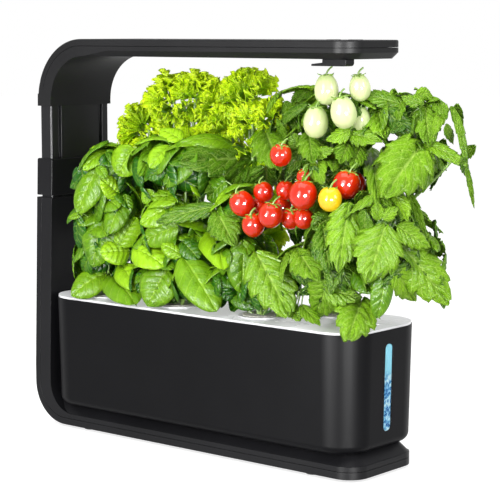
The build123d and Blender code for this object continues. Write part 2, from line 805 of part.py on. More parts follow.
impeller_front = pump_front + (chamber_depth - impeller_length) / 2
with BuildPart() as pump_impeller:
    with BuildSketch(Plane.XZ.offset(-impeller_front)):
        with Locations((pump_x, chamber_z)):
            Circle(impeller_hub)
            with PolarLocations(0, vane_count):
                with Locations((impeller_radius / 2, 0)):
                    Rectangle(impeller_radius, vane_thickness)
    extrude(amount=-impeller_length)
    with BuildSketch(Plane.XZ.offset(-impeller_front)):
        with Locations((pump_x, chamber_z)):
            Circle(shaft_radius)
    extrude(amount=-(pump_width - 2 * pump_wall - (impeller_front - pump_front)))
save(pump_impeller, "pump_impeller")

with BuildPart() as pump_cover:
    with BuildSketch(Plane.XZ.offset(-pump_front)):
        with Locations((pump_x, chamber_z)):
            Rectangle(pump_length - 2 * pump_wall, pump_height)
            with GridLocations(0, 2 * pump_wall, 1, 3):
                SlotOverall(2 * impeller_radius, pump_wall, mode=Mode.SUBTRACT)
    extrude(amount=cover_thickness)
save(pump_cover, "pump_cover")

with BuildPart() as pump_filter:
    add(box_between(
        (pump_x - pump_length / 2 + pump_wall, pump_front - cover_thickness - filter_thickness, pump_floor),
        (pump_x + pump_length / 2 - pump_wall, pump_front - cover_thickness, pump_floor + pump_height),
    ))
    fillet(pump_filter.edges().filter_by(Axis.Z).group_by(Axis.Y)[0], pump_wall)
save(pump_filter, "pump_filter")

with BuildPart() as outlet_tube:
    with BuildSketch(Plane.XY.offset(pump_floor + pump_height)):
        with Locations((pump_x, pump_front + chamber_depth / 2)):
            Circle(tube_radius)
            Circle(tube_bore, mode=Mode.SUBTRACT)
    extrude(amount=tank_top - tube_gap - pump_floor - pump_height)
save(outlet_tube, "outlet_tube")

# ================================================================================================
# Deck, flap and pods
# ================================================================================================

pod_points = [
    (first_pod_x + (i + row / 2) * pod_pitch, (2 * row - 1) * pod_row)
    for row in (0, 1)
    for i in range(pods_per_row)
]
flap_end = hinge_x + flap_length
flap_start = hinge_x + flap_shoulder
hinge_z = deck_top - hinge_radius
ear_start = hinge_length / 2 + flap_gap
ear_end = ear_start + ear_width
flap_hole = (flap_start - flap_swing_gap, flap_end + flap_gap, flap_width / 2 + flap_gap)
with BuildPart() as deck:
    with BuildSketch(Plane.XY.offset(tank_top)):
        with Locations((tank_x, 0)):
            RectangleRounded(
                tank_length - 2 * deck_inset, tank_width - 2 * deck_inset, tank_corner_radius - deck_inset
            )
    extrude(amount=deck_thickness)
    skirt_inset = tank_wall + deck_fit
    add(tank_prism(skirt_inset, tank_top - deck_skirt, tank_top, tank_top))
    add(tank_prism(skirt_inset + deck_skirt_wall, tank_top - deck_skirt, tank_top, tank_top),
        mode=Mode.SUBTRACT)
    add(box_between(
        (hinge_x - hinge_radius, -ear_end, hinge_z - hinge_radius),
        (hinge_x + hinge_radius, ear_end, tank_top),
    ))
    # The flap's recess with its ledge, the mouth of the tank inside it, and the slot for the hinge.
    add(box_between(
        (flap_hole[0], -flap_hole[2], deck_top - flap_thickness - flap_seat_gap),
        (flap_hole[1], flap_hole[2], deck_top),
    ), mode=Mode.SUBTRACT)
    add(box_between(
        (flap_hole[0], fill_ledge - flap_hole[2], hinge_z - hinge_radius),
        (flap_hole[1] - fill_ledge, flap_hole[2] - fill_ledge, deck_top),
    ), mode=Mode.SUBTRACT)
    add(box_between(
        (hinge_x - hinge_radius - flap_gap, -ear_start, hinge_z - hinge_radius),
        (flap_hole[0], ear_start, deck_top),
    ), mode=Mode.SUBTRACT)
    with BuildSketch(Plane.XZ.offset(-ear_end)):
        with Locations((hinge_x, hinge_z)):
            Circle(hinge_pin_radius + hinge_fit)
    extrude(amount=2 * ear_end, mode=Mode.SUBTRACT)
    with BuildSketch(Plane.XY.offset(tank_top)):
        with Locations(*pod_points):
            Circle(pod_hole_radius)
    extrude(amount=deck_thickness, mode=Mode.SUBTRACT)
save(deck, "deck")

with BuildPart() as fill_flap:
    add(box_between(
        (flap_start, -flap_width / 2, deck_top - flap_thickness), (flap_end, flap_width / 2, deck_top)
    ))
    add(box_between(
        (hinge_x, -hinge_length / 2, deck_top - flap_thickness), (flap_start, hinge_length / 2, deck_top)
    ))
    with BuildSketch(Plane.XZ.offset(-hinge_length / 2)):
        with Locations((hinge_x, hinge_z)):
            Circle(hinge_radius)
    extrude(amount=hinge_length)
    with BuildSketch(Plane.XZ.offset(-hinge_length / 2)):
        with Locations((hinge_x, hinge_z)):
            Circle(hinge_pin_radius + hinge_fit)
    extrude(amount=hinge_length, mode=Mode.SUBTRACT)
    with BuildSketch(Plane.XY.offset(deck_top - flap_thickness)):
        with Locations((flap_end, 0)):
            Circle(finger_notch)
    extrude(amount=flap_thickness, mode=Mode.SUBTRACT)
save(fill_flap, "fill_flap")

with BuildPart() as flap_hinge_pin:
    with BuildSketch(Plane.XZ.offset(-ear_end)):
        with Locations((hinge_x, hinge_z)):
            Circle(hinge_pin_radius)
    extrude(amount=2 * ear_end)
save(flap_hinge_pin, "flap_hinge_pin")

for number, (pod_x, pod_y) in enumerate(pod_points, start=1):
    lean = tan(radians(pod_draft))
    cup_top = pod_hole_radius - pod_fit
    cup_low = cup_top - lean * pod_depth
    cup_bottom = deck_top - pod_depth
    with BuildPart() as pod_basket:
        with BuildSketch(Plane.XY.offset(deck_top)):
            with Locations((pod_x, pod_y)):
                Circle(pod_flange_radius)
        extrude(amount=pod_flange)
        with BuildSketch(Plane.XY.offset(cup_bottom)):
            with Locations((pod_x, pod_y)):
                Circle(cup_low)
        extrude(amount=pod_depth, taper=-pod_draft)
        with BuildSketch(Plane.XY.offset(cup_bottom + pod_wall)):
            with Locations((pod_x, pod_y)):
                Circle(cup_low - pod_wall)
        extrude(amount=pod_depth + pod_flange, taper=-pod_draft, mode=Mode.SUBTRACT)
        slot_low = cup_bottom + 2 * pod_wall
        with BuildSketch(Plane.XY.offset(slot_low)):
            with Locations((pod_x, pod_y)):
                with PolarLocations(0, pod_slots // 2, angular_range=180):
                    Rectangle(2 * pod_flange_radius, pod_slot_width)
        extrude(amount=pod_slot_height, mode=Mode.SUBTRACT)
    save(pod_basket, f"pod_basket_{number}")
    with BuildPart() as grow_sponge:
        with BuildSketch(Plane.XY.offset(cup_bottom + pod_wall)):
            with Locations((pod_x, pod_y)):
                Circle(cup_low - pod_wall - sponge_fit)
        extrude(amount=pod_depth - pod_wall + pod_flange + sponge_proud, taper=-pod_draft)
    save(grow_sponge, f"grow_sponge_{number}")

# ================================================================================================
# Plants
# ================================================================================================

stem_foot = deck_top + pod_flange + sponge_proud + stem_gap
crown_start = column_in + 2 * plant_gap
crown_top = arm_bottom - hook_depth - crown_headroom
front_row, back_row = pod_points[:pods_per_row], pod_points[pods_per_row:]
front_split = [(left[0] + right[0]) / 2 for left, right in zip(front_row, front_row[1:])]
back_split = (back_row[0][0] + back_row[1][0]) / 2

# Masses of leaves, each as X, Y and Z from the middle of its pod on the deck, and a radius.
lettuce_left_lobes = [
    (-67, 9, 128, 28), (-43, 8, 161, 32), (-10, 9, 191, 31), (20, 8, 195, 28), (15, 8, 138, 33),
    (-25, 8, 111, 32), (0, 8, 66, 33), (-45, 8, 74, 30), (0, 6, 42, 26),
]
lettuce_right_lobes = [
    (-12, 8, 196, 31), (-7, 8, 151, 32), (-10, 8, 106, 33), (-3, 8, 61, 29), (0, 6, 40, 24),
]
basil_left_lobes = [
    (-5, -8, 118, 32), (17, -8, 126, 28), (20, -8, 92, 27), (-4, -8, 72, 31), (18, -8, 58, 28),
    (-2, -6, 38, 27),
]
basil_middle_lobes = [
    (-17, -8, 132, 30), (17, -8, 130, 30), (0, -8, 80, 33), (-20, -8, 50, 27), (20, -8, 52, 27),
    (0, -6, 36, 25),
]
basil_right_lobes = [(-20, -4, 92, 28), (-13, -8, 54, 30), (0, -4, 34, 22)]
tomato_lobes = [
    (-40, -5, 181, 30), (-42, 8, 135, 30), (-42, 8, 88, 29), (8, -22, 180, 31), (40, -23, 184, 28),
    (80, -8, 182, 29), (112, -3, 178, 26), (126, -3, 150, 23), (126, -3, 122, 18), (88, -10, 145, 33),
    (60, -15, 95, 33), (102, -20, 62, 28), (85, -55, 100, 30), (95, -55, 60, 26), (25, -47, 128, 30),
    (13, -45, 90, 24), (-13, -39, 146, 27), (40, -58, 70, 31), (10, -60, 48, 28), (52, -66, 47, 25),
    (5, 8, 60, 33), (0, 5, 34, 22), (40, 8, 100, 33), (10, 8, 130, 33), (70, 8, 80, 30),
]

# Fruit, placed from the tomato plant's pod in the same way.
red_places = [
    (20, -77, 118, 12.5), (-15, -79, 98, 11.0), (-50.3, -77, 106, 11.2), (-36, -78, 87.5, 10.3),
    (51.6, -56.5, 127.5, 12.2), (42, -33.5, 125, 11.5), (14.2, -69, 96.2, 9.0), (-7.2, -59.5, 94, 9.4),
    (-35, -65, 116.5, 9.0), (-13, -61, 119, 8.4), (-23.5, -53.5, 102, 9.3), (-45.5, -57, 103, 8.4),
    (8.3, -59, 131.5, 7.8), (-10, -71, 151, 9.8),
]
yellow_places = [(49.4, -77, 116, 10.4)]
green_places = [
    (20.6, -45, 209, 11.0), (15, -53, 180.5, 11.4), (45, -53, 190, 11.6), (50, -36, 211, 9.6),
    (46, -29, 183, 9.0),
]


def from_pod(pod, places):
    """Places given from a pod's middle on the deck, as places in the stand's frame."""
    return [(pod[0] + x, pod[1] + y, deck_top + z, radius) for x, y, z, radius in places]


def facet_ball(place, stretch=1.0, gap=0.0, turn=0.0):
    """A ball of flat facets: an upright band between two caps whose sides slope in."""
    x, y, z, radius = place
    band = (sqrt(2) - 1) * (stretch * radius + gap)
    cap = stretch * radius + gap - band
    cap_slope = degrees(atan((2 - sqrt(2)) * (radius + gap) / cap))
    with BuildPart() as ball:
        with BuildSketch(Plane.XY.offset(z - band)):
            with Locations((x, y)):
                RegularPolygon(radius + gap, facet_sides, major_radius=False, rotation=turn)
        extrude(amount=2 * band)
        extrude(ball.faces().sort_by(Axis.Z)[-1], amount=cap, taper=cap_slope)
        extrude(ball.faces().sort_by(Axis.Z)[0], amount=cap, taper=cap_slope)
    return ball.part


def leaf_mass(places):
    """Masses of leaves, each turned its own way, to be joined into one crown."""
    return [facet_ball(place, turn=lobe_turn * number) for number, place in enumerate(places)]


def hollows(places, stretch):
    """The hollows in the leaves that fruit hangs in."""
    return [facet_ball(place, stretch, tomato_gap) for place in places]


def fruit(places, stretch):
    """Fruit a little taller than wide."""
    with BuildPart() as truss:
        for x, y, z, radius in places:
            with BuildSketch(Plane.XZ.offset(-y)):
                with Locations((x, z)):
                    Ellipse(radius, stretch * radius)
                with Locations((x - radius, z)):
                    Rectangle(2 * radius, far, mode=Mode.SUBTRACT)
            revolve(axis=Axis((x, y, z), (0, 0, 1)))
    return truss.part


def stem(pod):
    """The stem that carries a crown, from the top of its sponge."""
    return upright([pod], stem_radius, stem_foot, stem_foot + 2 * pod_depth)


front_low, front_high = -crown_depth, -plant_gap / 2
back_low, back_high = plant_gap / 2, crown_depth
right_split = tomato_start - plant_gap / 2
canopy_split = canopy_start - plant_gap / 2


def room(left, right, low_y, high_y, high):
    """The room that one crown may fill, half a gap inside its borders along X."""
    return box_between((left + plant_gap / 2, low_y, stem_foot), (right - plant_gap / 2, high_y, high))


with BuildPart() as lettuce_left:
    add(leaf_mass(from_pod(back_row[0], lettuce_left_lobes)))
    add(room(crown_start, back_split, back_low, back_high, crown_top), mode=Mode.INTERSECT)
    add(stem(back_row[0]))
save(lettuce_left, "lettuce_left")

with BuildPart() as lettuce_right:
    add(leaf_mass(from_pod(back_row[1], lettuce_right_lobes)))
    add(room(back_split, canopy_split, back_low, back_high, crown_top), mode=Mode.INTERSECT)
    add(stem(back_row[1]))
save(lettuce_right, "lettuce_right")

with BuildPart() as basil_left:
    add(leaf_mass(from_pod(front_row[0], basil_left_lobes)))
    add(room(crown_start, front_split[0], front_low, front_high, crown_top), mode=Mode.INTERSECT)
    add(stem(front_row[0]))
save(basil_left, "basil_left")

with BuildPart() as basil_middle:
    add(leaf_mass(from_pod(front_row[1], basil_middle_lobes)))
    add(room(front_split[0], front_split[1], front_low, front_high, crown_top), mode=Mode.INTERSECT)
    add(stem(front_row[1]))
save(basil_middle, "basil_middle")

tomato_pod = back_row[2]
fruit_hollows = hollows(from_pod(tomato_pod, red_places + yellow_places), fruit_stretch)
fruit_hollows += hollows(from_pod(tomato_pod, green_places), plum_stretch)
with BuildPart() as basil_right:
    add(leaf_mass(from_pod(front_row[2], basil_right_lobes)))
    add(room(front_split[1], right_split, front_low, front_high, canopy_height - plant_gap),
        mode=Mode.INTERSECT)
    add(stem(front_row[2]))
    add(fruit_hollows, mode=Mode.SUBTRACT)
save(basil_right, "basil_right")

with BuildPart() as tomato_room:
    add(room(tomato_start, crown_reach + plant_gap / 2, front_low, back_high, crown_top))
    add(room(canopy_start, tomato_start + plant_gap, back_low, back_high, crown_top))
    add(box_between(
        (canopy_start, front_low, canopy_height), (tomato_start + plant_gap, back_high, crown_top)
    ))
with BuildPart() as tomato_plant:
    add(leaf_mass(from_pod(tomato_pod, tomato_lobes)))
    add(tomato_room.part, mode=Mode.INTERSECT)
    add(stem(tomato_pod))
    add(fruit_hollows, mode=Mode.SUBTRACT)
save(tomato_plant, "tomato_plant")

with BuildPart() as red_tomatoes:
    add(fruit(from_pod(tomato_pod, red_places), fruit_stretch))
save(red_tomatoes, "red_tomatoes")

with BuildPart() as yellow_tomato:
    add(fruit(from_pod(tomato_pod, yellow_places), fruit_stretch))
save(yellow_tomato, "yellow_tomato")

with BuildPart() as green_tomatoes:
    add(fruit(from_pod(tomato_pod, green_places), plum_stretch))
save(green_tomatoes, "green_tomatoes")
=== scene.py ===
import math
import random

import bmesh
import bpy
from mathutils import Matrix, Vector, noise


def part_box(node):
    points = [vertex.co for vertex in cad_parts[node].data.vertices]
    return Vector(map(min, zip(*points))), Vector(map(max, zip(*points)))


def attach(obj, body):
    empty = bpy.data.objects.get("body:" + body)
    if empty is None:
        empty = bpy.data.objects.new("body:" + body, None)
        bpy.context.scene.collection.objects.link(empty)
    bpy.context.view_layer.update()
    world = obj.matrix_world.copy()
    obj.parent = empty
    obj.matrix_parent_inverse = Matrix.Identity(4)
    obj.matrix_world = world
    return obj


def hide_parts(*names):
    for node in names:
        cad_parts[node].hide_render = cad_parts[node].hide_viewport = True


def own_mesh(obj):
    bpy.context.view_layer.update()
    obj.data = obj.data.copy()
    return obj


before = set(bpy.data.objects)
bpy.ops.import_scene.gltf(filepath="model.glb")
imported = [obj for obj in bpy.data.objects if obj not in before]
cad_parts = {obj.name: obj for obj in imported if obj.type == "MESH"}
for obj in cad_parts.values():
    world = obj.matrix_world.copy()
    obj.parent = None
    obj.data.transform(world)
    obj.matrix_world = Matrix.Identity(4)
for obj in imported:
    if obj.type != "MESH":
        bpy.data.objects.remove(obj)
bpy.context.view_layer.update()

# Base of the stand: two injection-moulded halves of black satin plastic, parted along the rim and up the
# back of the column. The sliding plinth for the tank is part of the upper half.
MM = 0.001


def new_finish(name):
    """A node material, its node tree and its Principled shader."""
    mat = bpy.data.materials.new(name)
    mat.use_nodes = True
    tree = mat.node_tree
    return mat, tree, tree.nodes["Principled BSDF"]


def put(value, socket):
    """Feed one input, from another node's output or with a plain value."""
    if isinstance(value, bpy.types.NodeSocket):
        socket.id_data.links.new(value, socket)
    else:
        socket.default_value = value


def feed(node, **values):
    """Feed a node's inputs by their names, where _ stands for a space."""
    for key, value in values.items():
        put(value, node.inputs[key.replace("_", " ")])


def add_node(tree, kind, **settings):
    """A shader node with its inputs fed and its other properties set."""
    node = tree.nodes.new("ShaderNode" + kind)
    for key, value in settings.items():
        if key.replace("_", " ") in node.inputs.keys():
            feed(node, **{key: value})
        else:
            setattr(node, key, value)
    return node


def reckon(tree, operation, *values):
    """The result of a step of arithmetic on numbers and other nodes' outputs."""
    node = add_node(tree, "Math", operation=operation)
    for value, socket in zip(values, node.inputs):
        put(value, socket)
    return node.outputs["Value"]


def new_group(name, inputs, outputs):
    """A shader node group with named sockets; gives its tree, its input node and its output node."""
    tree = bpy.data.node_groups.new(name, "ShaderNodeTree")
    for label, kind, value in inputs:
        socket = tree.interface.new_socket(label, in_out="INPUT", socket_type="NodeSocket" + kind)
        socket.default_value = value
    for label, kind in outputs:
        tree.interface.new_socket(label, in_out="OUTPUT", socket_type="NodeSocket" + kind)
    return tree, tree.nodes.new("NodeGroupInput"), tree.nodes.new("NodeGroupOutput")


moulded, moulded_in, moulded_out = new_group(
    "moulded_skin",
    [("Colour", "Color", (0.02, 0.02, 0.02, 1)), ("Grain", "Float", 1500.0), ("Roughness", "Float", 0.4),
     ("Unevenness", "Float", 0.06)],
    [("Colour", "Color"), ("Roughness", "Float"), ("Height", "Float")],
)
spot = add_node(moulded, "TexCoord").outputs["Object"]
grain = add_node(moulded, "TexNoise", Vector=spot, Scale=moulded_in.outputs["Grain"], Detail=3.0, Roughness=0.7)
cloud = add_node(moulded, "TexNoise", Vector=spot, Scale=14.0, Detail=4.0).outputs["Fac"]
tint = add_node(moulded, "MixRGB", blend_type="MULTIPLY", Fac=0.35, Color1=moulded_in.outputs["Colour"],
                Color2=cloud)
spread = add_node(moulded, "MapRange", Value=cloud, To_Min=-1.0)
sheen = reckon(moulded, "MULTIPLY_ADD", spread.outputs["Result"], moulded_in.outputs["Unevenness"],
               moulded_in.outputs["Roughness"])
feed(moulded_out, Colour=tint.outputs["Color"], Roughness=sheen, Height=grain.outputs["Fac"])


def moulded_finish(name, colour, roughness=0.4, grain=1500.0, relief=0.00003, uneven=0.06, specular=0.5,
                   **others):
    """Plastic, rubber, paint or metal: one colour with a fine grain and a slightly uneven sheen."""
    mat, tree, shader = new_finish(name)
    skin = add_node(tree, "Group", node_tree=moulded, Colour=(*colour, 1), Roughness=roughness, Grain=grain,
                    Unevenness=uneven)
    bump = add_node(tree, "Bump", Strength=0.5, Distance=relief, Height=skin.outputs["Height"])
    feed(shader, Base_Color=skin.outputs["Colour"], Roughness=skin.outputs["Roughness"],
         Normal=bump.outputs["Normal"], Specular_IOR_Level=specular, **others)
    return mat


def dress(node, mat):
    """Give a plain CAD node its finish."""
    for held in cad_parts[node].material_slots:
        held.material = mat


MERGE = 0.002 * MM
FLAT_ANGLE, SHARP_ANGLE, CREASE_ANGLE = math.radians(0.5), math.radians(28), math.radians(40)


def own_shape(node):
    """A CAD node's own shape, merged into whole surfaces."""
    bm = bmesh.new()
    bm.from_mesh(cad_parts[node].data)
    bmesh.ops.remove_doubles(bm, verts=bm.verts, dist=MERGE)
    return bm


def new_piece(name, bm, mat):
    """An object in one material, made from a finished shape that is then freed."""
    mesh = bpy.data.meshes.new(name)
    bm.to_mesh(mesh)
    bm.free()
    mesh.materials.append(mat)
    piece = bpy.data.objects.new(name, mesh)
    bpy.context.scene.collection.objects.link(piece)
    return piece


def softened(node, body, mat, width, ease=None):
    """A moulded piece: the node's own shape with every sharp edge rounded as the tool leaves it."""
    bm = own_shape(node)
    if ease:
        ease(bm)
        bmesh.ops.remove_doubles(bm, verts=bm.verts, dist=MERGE)
    bmesh.ops.dissolve_limit(bm, angle_limit=FLAT_ANGLE, verts=bm.verts, edges=bm.edges)
    edges = [e for e in bm.edges if len(e.link_faces) == 2 and e.calc_face_angle(0) > SHARP_ANGLE]
    bmesh.ops.bevel(bm, geom=edges, offset=width, offset_type="OFFSET", segments=2, profile=0.5,
                    affect="EDGES", material=-1, clamp_overlap=True)
    for face in bm.faces:
        face.smooth = True
    piece = new_piece("soft_" + node, bm, mat)
    piece.data.set_sharp_from_angle(angle=CREASE_ANGLE)
    piece.modifiers.new("even faces", "WEIGHTED_NORMAL").keep_sharp = True
    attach(piece, body)
    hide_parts(node)


casing_black = moulded_finish("casing_black", (0.007, 0.007, 0.0085), roughness=0.4, specular=0.11)
softened("base_upper_housing", "stand", casing_black, 0.6 * MM)
softened("base_lower_cover", "stand", casing_black, 0.7 * MM)

# Feet and screws under the base: four discs of soft black rubber pressed into the lower cover, and six
# plated steel screws in deep holes that pull the two halves together.
foot_rubber = moulded_finish("foot_rubber", (0.02, 0.02, 0.021), roughness=0.75, grain=900.0, relief=0.00006)
softened("rubber_feet", "stand", foot_rubber, 0.6 * MM)
screw_steel = moulded_finish("screw_steel", (0.55, 0.55, 0.56), roughness=0.32, grain=2200.0, relief=0.00001,
                             Metallic=1.0)
dress("base_screws", screw_steel)

# Electrics of the stand: the power jack at the back, the board in the base, two sprung pins that feed the
# pump, and felt pads that grip the mast.
board_lacquer = moulded_finish("board_lacquer", (0.03, 0.2, 0.09), roughness=0.25, grain=700.0)
dress("control_board", board_lacquer)
jack_black = moulded_finish("jack_black", (0.02, 0.02, 0.022), roughness=0.3)
dress("power_jack", jack_black)
pin_brass = moulded_finish("pin_brass", (0.78, 0.58, 0.26), roughness=0.25, relief=0.00001, Metallic=1.0)
dress("pump_contact_pins", pin_brass)
pad_felt = moulded_finish("pad_felt", (0.16, 0.16, 0.165), roughness=0.95, grain=3500.0, relief=0.0003)
dress("column_friction_pads", pad_felt)

# Collar: a moulded band on top of the column that rises with the mast. Two coated steel rails on it run in
# the mast's slots.
softened("collar", "collar_stage", casing_black, 0.6 * MM)
rail_coat = moulded_finish("rail_coat", (0.004, 0.004, 0.004), roughness=0.5, specular=0.1)
dress("collar_rails", rail_coat)
dress("collar_friction_pads", pad_felt)

# Mast: a hollow satin black plastic extrusion with two slots down its face. It slides in the collar, gripped
# by felt pads, and carries the lamp.
mast_black = moulded_finish("mast_black", (0.012, 0.012, 0.014), roughness=0.38, specular=0.16)
softened("mast", "lamp", mast_black, 0.35 * MM)

# Lamp arm: lower housing and top cover of black plastic with a brighter sheen, screwed together from below.
# The cover goes over the bend at the mast and down to the lip of the housing's skirt.
arm_black = moulded_finish("arm_black", (0.013, 0.013, 0.014), roughness=0.46, specular=0.1)


def run_out_chamfer(bm):
    """The chamfer under the arm's sides fades out where the inner bend begins."""
    fade_start = -140 * MM
    bend_low, bend_high = -172.3, -166.7
    side, underside, shoulder = 36.7, 369.5, 375.1
    bmesh.ops.bisect_plane(bm, geom=bm.verts[:] + bm.edges[:] + bm.faces[:], plane_co=(fade_start, 0, 0),
                           plane_no=(1, 0, 0), dist=0.001 * MM)
    for vert in bm.verts:
        x, y, z = vert.co / MM
        if bend_low < x < bend_high and abs(y) > side and underside - 0.1 < z < shoulder:
            vert.co.z = underside * MM


softened("arm_housing", "lamp", arm_black, 0.35 * MM, ease=run_out_chamfer)


def reach_skirt(bm):
    """The cover's lower end comes down to the skirt's lip."""
    column_side, lip, reach = -200 * MM, 334 * MM, 1.1 * MM
    for vert in bm.verts:
        if vert.co.x < column_side and vert.co.z < lip:
            vert.co.z -= reach


softened("arm_top_cover", "lamp", arm_black, 0.35 * MM, ease=reach_skirt)
dress("arm_screws", screw_steel)

# Light: a white circuit board with warm white and red diodes soldered on, screwed into the arm's tray, and a
# frosted plastic sheet clipped in below it.
board_white = moulded_finish("board_white", (0.82, 0.82, 0.8), roughness=0.4, grain=600.0)
dress("led_board", board_white)
diode_warm = moulded_finish("diode_warm", (0.9, 0.84, 0.5), roughness=0.3)
dress("white_leds", diode_warm)
diode_red = moulded_finish("diode_red", (0.7, 0.08, 0.06), roughness=0.3)
dress("red_leds", diode_red)
frosted = moulded_finish("frosted", (0.86, 0.87, 0.88), roughness=0.55, grain=2600.0, relief=0.00008)
dress("light_diffuser", frosted)

# Buttons on top of the arm: two round caps of black plastic with a soft sheen. Each is sprung, and presses a
# switch on a small lacquered board under the cover.
key_black = moulded_finish("key_black", (0.01, 0.01, 0.011), roughness=0.4, specular=0.1)
softened("power_button", "power_key", key_black, 0.15 * MM)
softened("mode_button", "mode_key", key_black, 0.15 * MM)
dress("button_board", board_lacquer)

# Hook under the arm, for tying up tall plants: a small moulded block of the casing's plastic, fixed to the
# underside, with a tongue that opens towards the column.
softened("support_hook", "lamp", casing_black, 0.4 * MM)

# Tank: a deep tub of smooth black plastic, moulded in one piece with leaning walls and round corners. Brass
# pads in its floor meet the pins of the stand.
tank_black = moulded_finish("tank_black", (0.0005, 0.0005, 0.0014), roughness=0.43, grain=1900.0, relief=0.00001,
                            specular=0.07)
softened("tank", "garden", tank_black, 0.8 * MM)
dress("tank_contact_pads", pin_brass)

# Window in the tank's end: a clear plastic lens pressed into a black rubber seal, with blue-white bubbly water
# behind it, which has a painted glow in its own colours. Each is the lens's own shape made wider, with its ends
# still round, and laid on the leaning wall.
seal_rubber = moulded_finish("seal_rubber", (0.001, 0.001, 0.001), roughness=0.8, specular=0.03)
lens_clear, lens_tree, lens_shader = new_finish("lens_clear")
spot = add_node(lens_tree, "TexCoord").outputs["Object"]
haze = add_node(lens_tree, "TexNoise", Vector=spot, Scale=160.0, Detail=2.0)
clearness = add_node(lens_tree, "MapRange", Value=haze.outputs["Fac"], To_Max=0.05)
feed(lens_shader, Roughness=clearness.outputs["Result"], Base_Color=(1, 1, 1, 1), Transmission_Weight=1.0,
     IOR=1.1)

painted_glow_water, water_tree, water_shader = new_finish("bubbly_water_painted_glow")
surface_low, surface_high = 88 * MM, 96 * MM
spot = add_node(water_tree, "TexCoord").outputs["Object"]
height = add_node(water_tree, "SeparateXYZ", Vector=spot).outputs["Z"]
bubbles = add_node(water_tree, "TexVoronoi", Vector=spot, Scale=330.0).outputs["Distance"]
waves = add_node(water_tree, "TexNoise", Vector=spot, Scale=150.0, Detail=5.0, Roughness=0.7).outputs["Fac"]
depths = add_node(water_tree, "ValToRGB", Fac=reckon(water_tree, "MULTIPLY_ADD", bubbles, 0.55, waves))
blues = depths.color_ramp.elements
blues[0].position, blues[0].color = 0.64, (0.003, 0.045, 0.13, 1)
blues[1].position, blues[1].color = 0.95, (0.22, 0.31, 0.34, 1)
blues.new(0.8).color = (0.045, 0.16, 0.26, 1)
above = add_node(water_tree, "MapRange", Value=height, From_Min=surface_low, From_Max=surface_high)
water_tint = add_node(water_tree, "MixRGB", Fac=above.outputs["Result"], Color1=depths.outputs["Color"],
                      Color2=(0.105, 0.27, 0.335, 1)).outputs["Color"]
# Painted glow: the water gives off light in its own colours, as though lit from inside.
feed(water_shader, Base_Color=water_tint, Emission_Color=water_tint, Emission_Strength=0.32, Roughness=0.5,
     Specular_IOR_Level=0.03)

WALL_LEAN = 0.022  # the wall comes in by this share of its height
LENS_WIDER = 1.7
lens_low, lens_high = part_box("window_lens")
half, tall = (lens_high.y - lens_low.y) / 2, (lens_high.z - lens_low.z) / 2
middle, straight = (lens_high.z + lens_low.z) / 2, tall - half
run = tall * 1.02 - half * LENS_WIDER
for name, front, back, wider, mat in (("window_rim", -0.15, 0.6, 2.1, seal_rubber),
                                      ("window_pane", -0.5, -0.35, LENS_WIDER, lens_clear),
                                      ("window_water", -0.3, 0.5, 1.66, painted_glow_water)):
    bm = own_shape("window_lens")
    for vert in bm.verts:
        wall = lens_high.x - WALL_LEAN * (lens_high.z - vert.co.z)
        deep = wall - vert.co.x > 1 * MM
        up = abs(vert.co.z - middle)
        up = run + (up - straight) * wider if up > straight else up * run / straight
        vert.co.z = middle + math.copysign(up, vert.co.z - middle)
        wall = lens_high.x - WALL_LEAN * (lens_high.z - vert.co.z)
        vert.co.x = wall - (back if deep else front) * MM
        vert.co.y *= wider
    pane = new_piece(name, bm, mat)
    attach(pane, "garden")
    if name != "window_water":
        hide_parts("window_lens" if name == "window_pane" else "window_gasket")

# Pump in the tank: housing, impeller and cover of black plastic that snap together, a foam filter in front of
# the inlet, and a clear grey hose pushed onto its spout that leads up to the deck.
pump_black = moulded_finish("pump_black", (0.045, 0.045, 0.05), roughness=0.45)
for node in ("pump_housing", "pump_cover", "pump_impeller"):
    dress(node, pump_black)
dress("pump_filter", moulded_finish("filter_foam", (0.06, 0.06, 0.065), roughness=0.95, grain=1400.0,
                                    relief=0.0008))
dress("outlet_tube", moulded_finish("hose", (0.72, 0.75, 0.77), roughness=0.25))

# Deck: the tank's lid of glossy white plastic, resting on the rim, with a painted white glow of its own that lifts
# the leaves' shade on it. A flap over the fill mouth, with the same glow, turns on a steel pin.
deck_white = moulded_finish("deck_white", (0.9, 0.9, 0.93), roughness=0.28, grain=1200.0, relief=0.00001,
                            Emission_Color=(1, 1, 1, 1), Emission_Strength=0.12)
softened("deck", "garden", deck_white, 0.5 * MM)
softened("fill_flap", "flap", deck_white, 0.15 * MM)
dress("flap_hinge_pin", screw_steel)

# Pods: six white plastic baskets that hang by their rims in the deck. Each holds a pale cylinder of open
# foam for the roots, which fills it to the brim.
pod_white = moulded_finish("pod_white", (0.8, 0.8, 0.82), roughness=0.45)
sponge_pale = moulded_finish("sponge_pale", (0.55, 0.53, 0.47), roughness=1.0, grain=700.0, relief=0.0012,
                             uneven=0.1)
noise.seed_set(1)  # the foam's dents come out the same each time
PODS = {}
for number, plant in enumerate(("basil_left", "basil_middle", "basil_right", "lettuce_left", "lettuce_right",
                                "tomato"), 1):
    softened(f"pod_basket_{number}", "garden", pod_white, 0.3 * MM)
    low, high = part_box(f"pod_basket_{number}")
    PODS[plant] = (round((low.x + high.x) / 2, 4), round((low.y + high.y) / 2, 4))
    low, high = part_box(f"grow_sponge_{number}")
    bm = bmesh.new()
    bmesh.ops.create_cone(bm, cap_ends=True, segments=36, radius1=0.5, radius2=0.5, depth=1.0)
    bmesh.ops.subdivide_edges(bm, edges=bm.edges[:], cuts=3, use_grid_fill=True)
    for vert in bm.verts:
        vert.co = (low + high) / 2 + vert.co * (high - low)
        vert.co += noise.noise_vector(vert.co * 900 + Vector((number, 0, 0))) * 0.5 * MM
    sponge = new_piece(f"sponge_{number}", bm, sponge_pale)
    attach(sponge, "garden")
    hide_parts(f"grow_sponge_{number}")
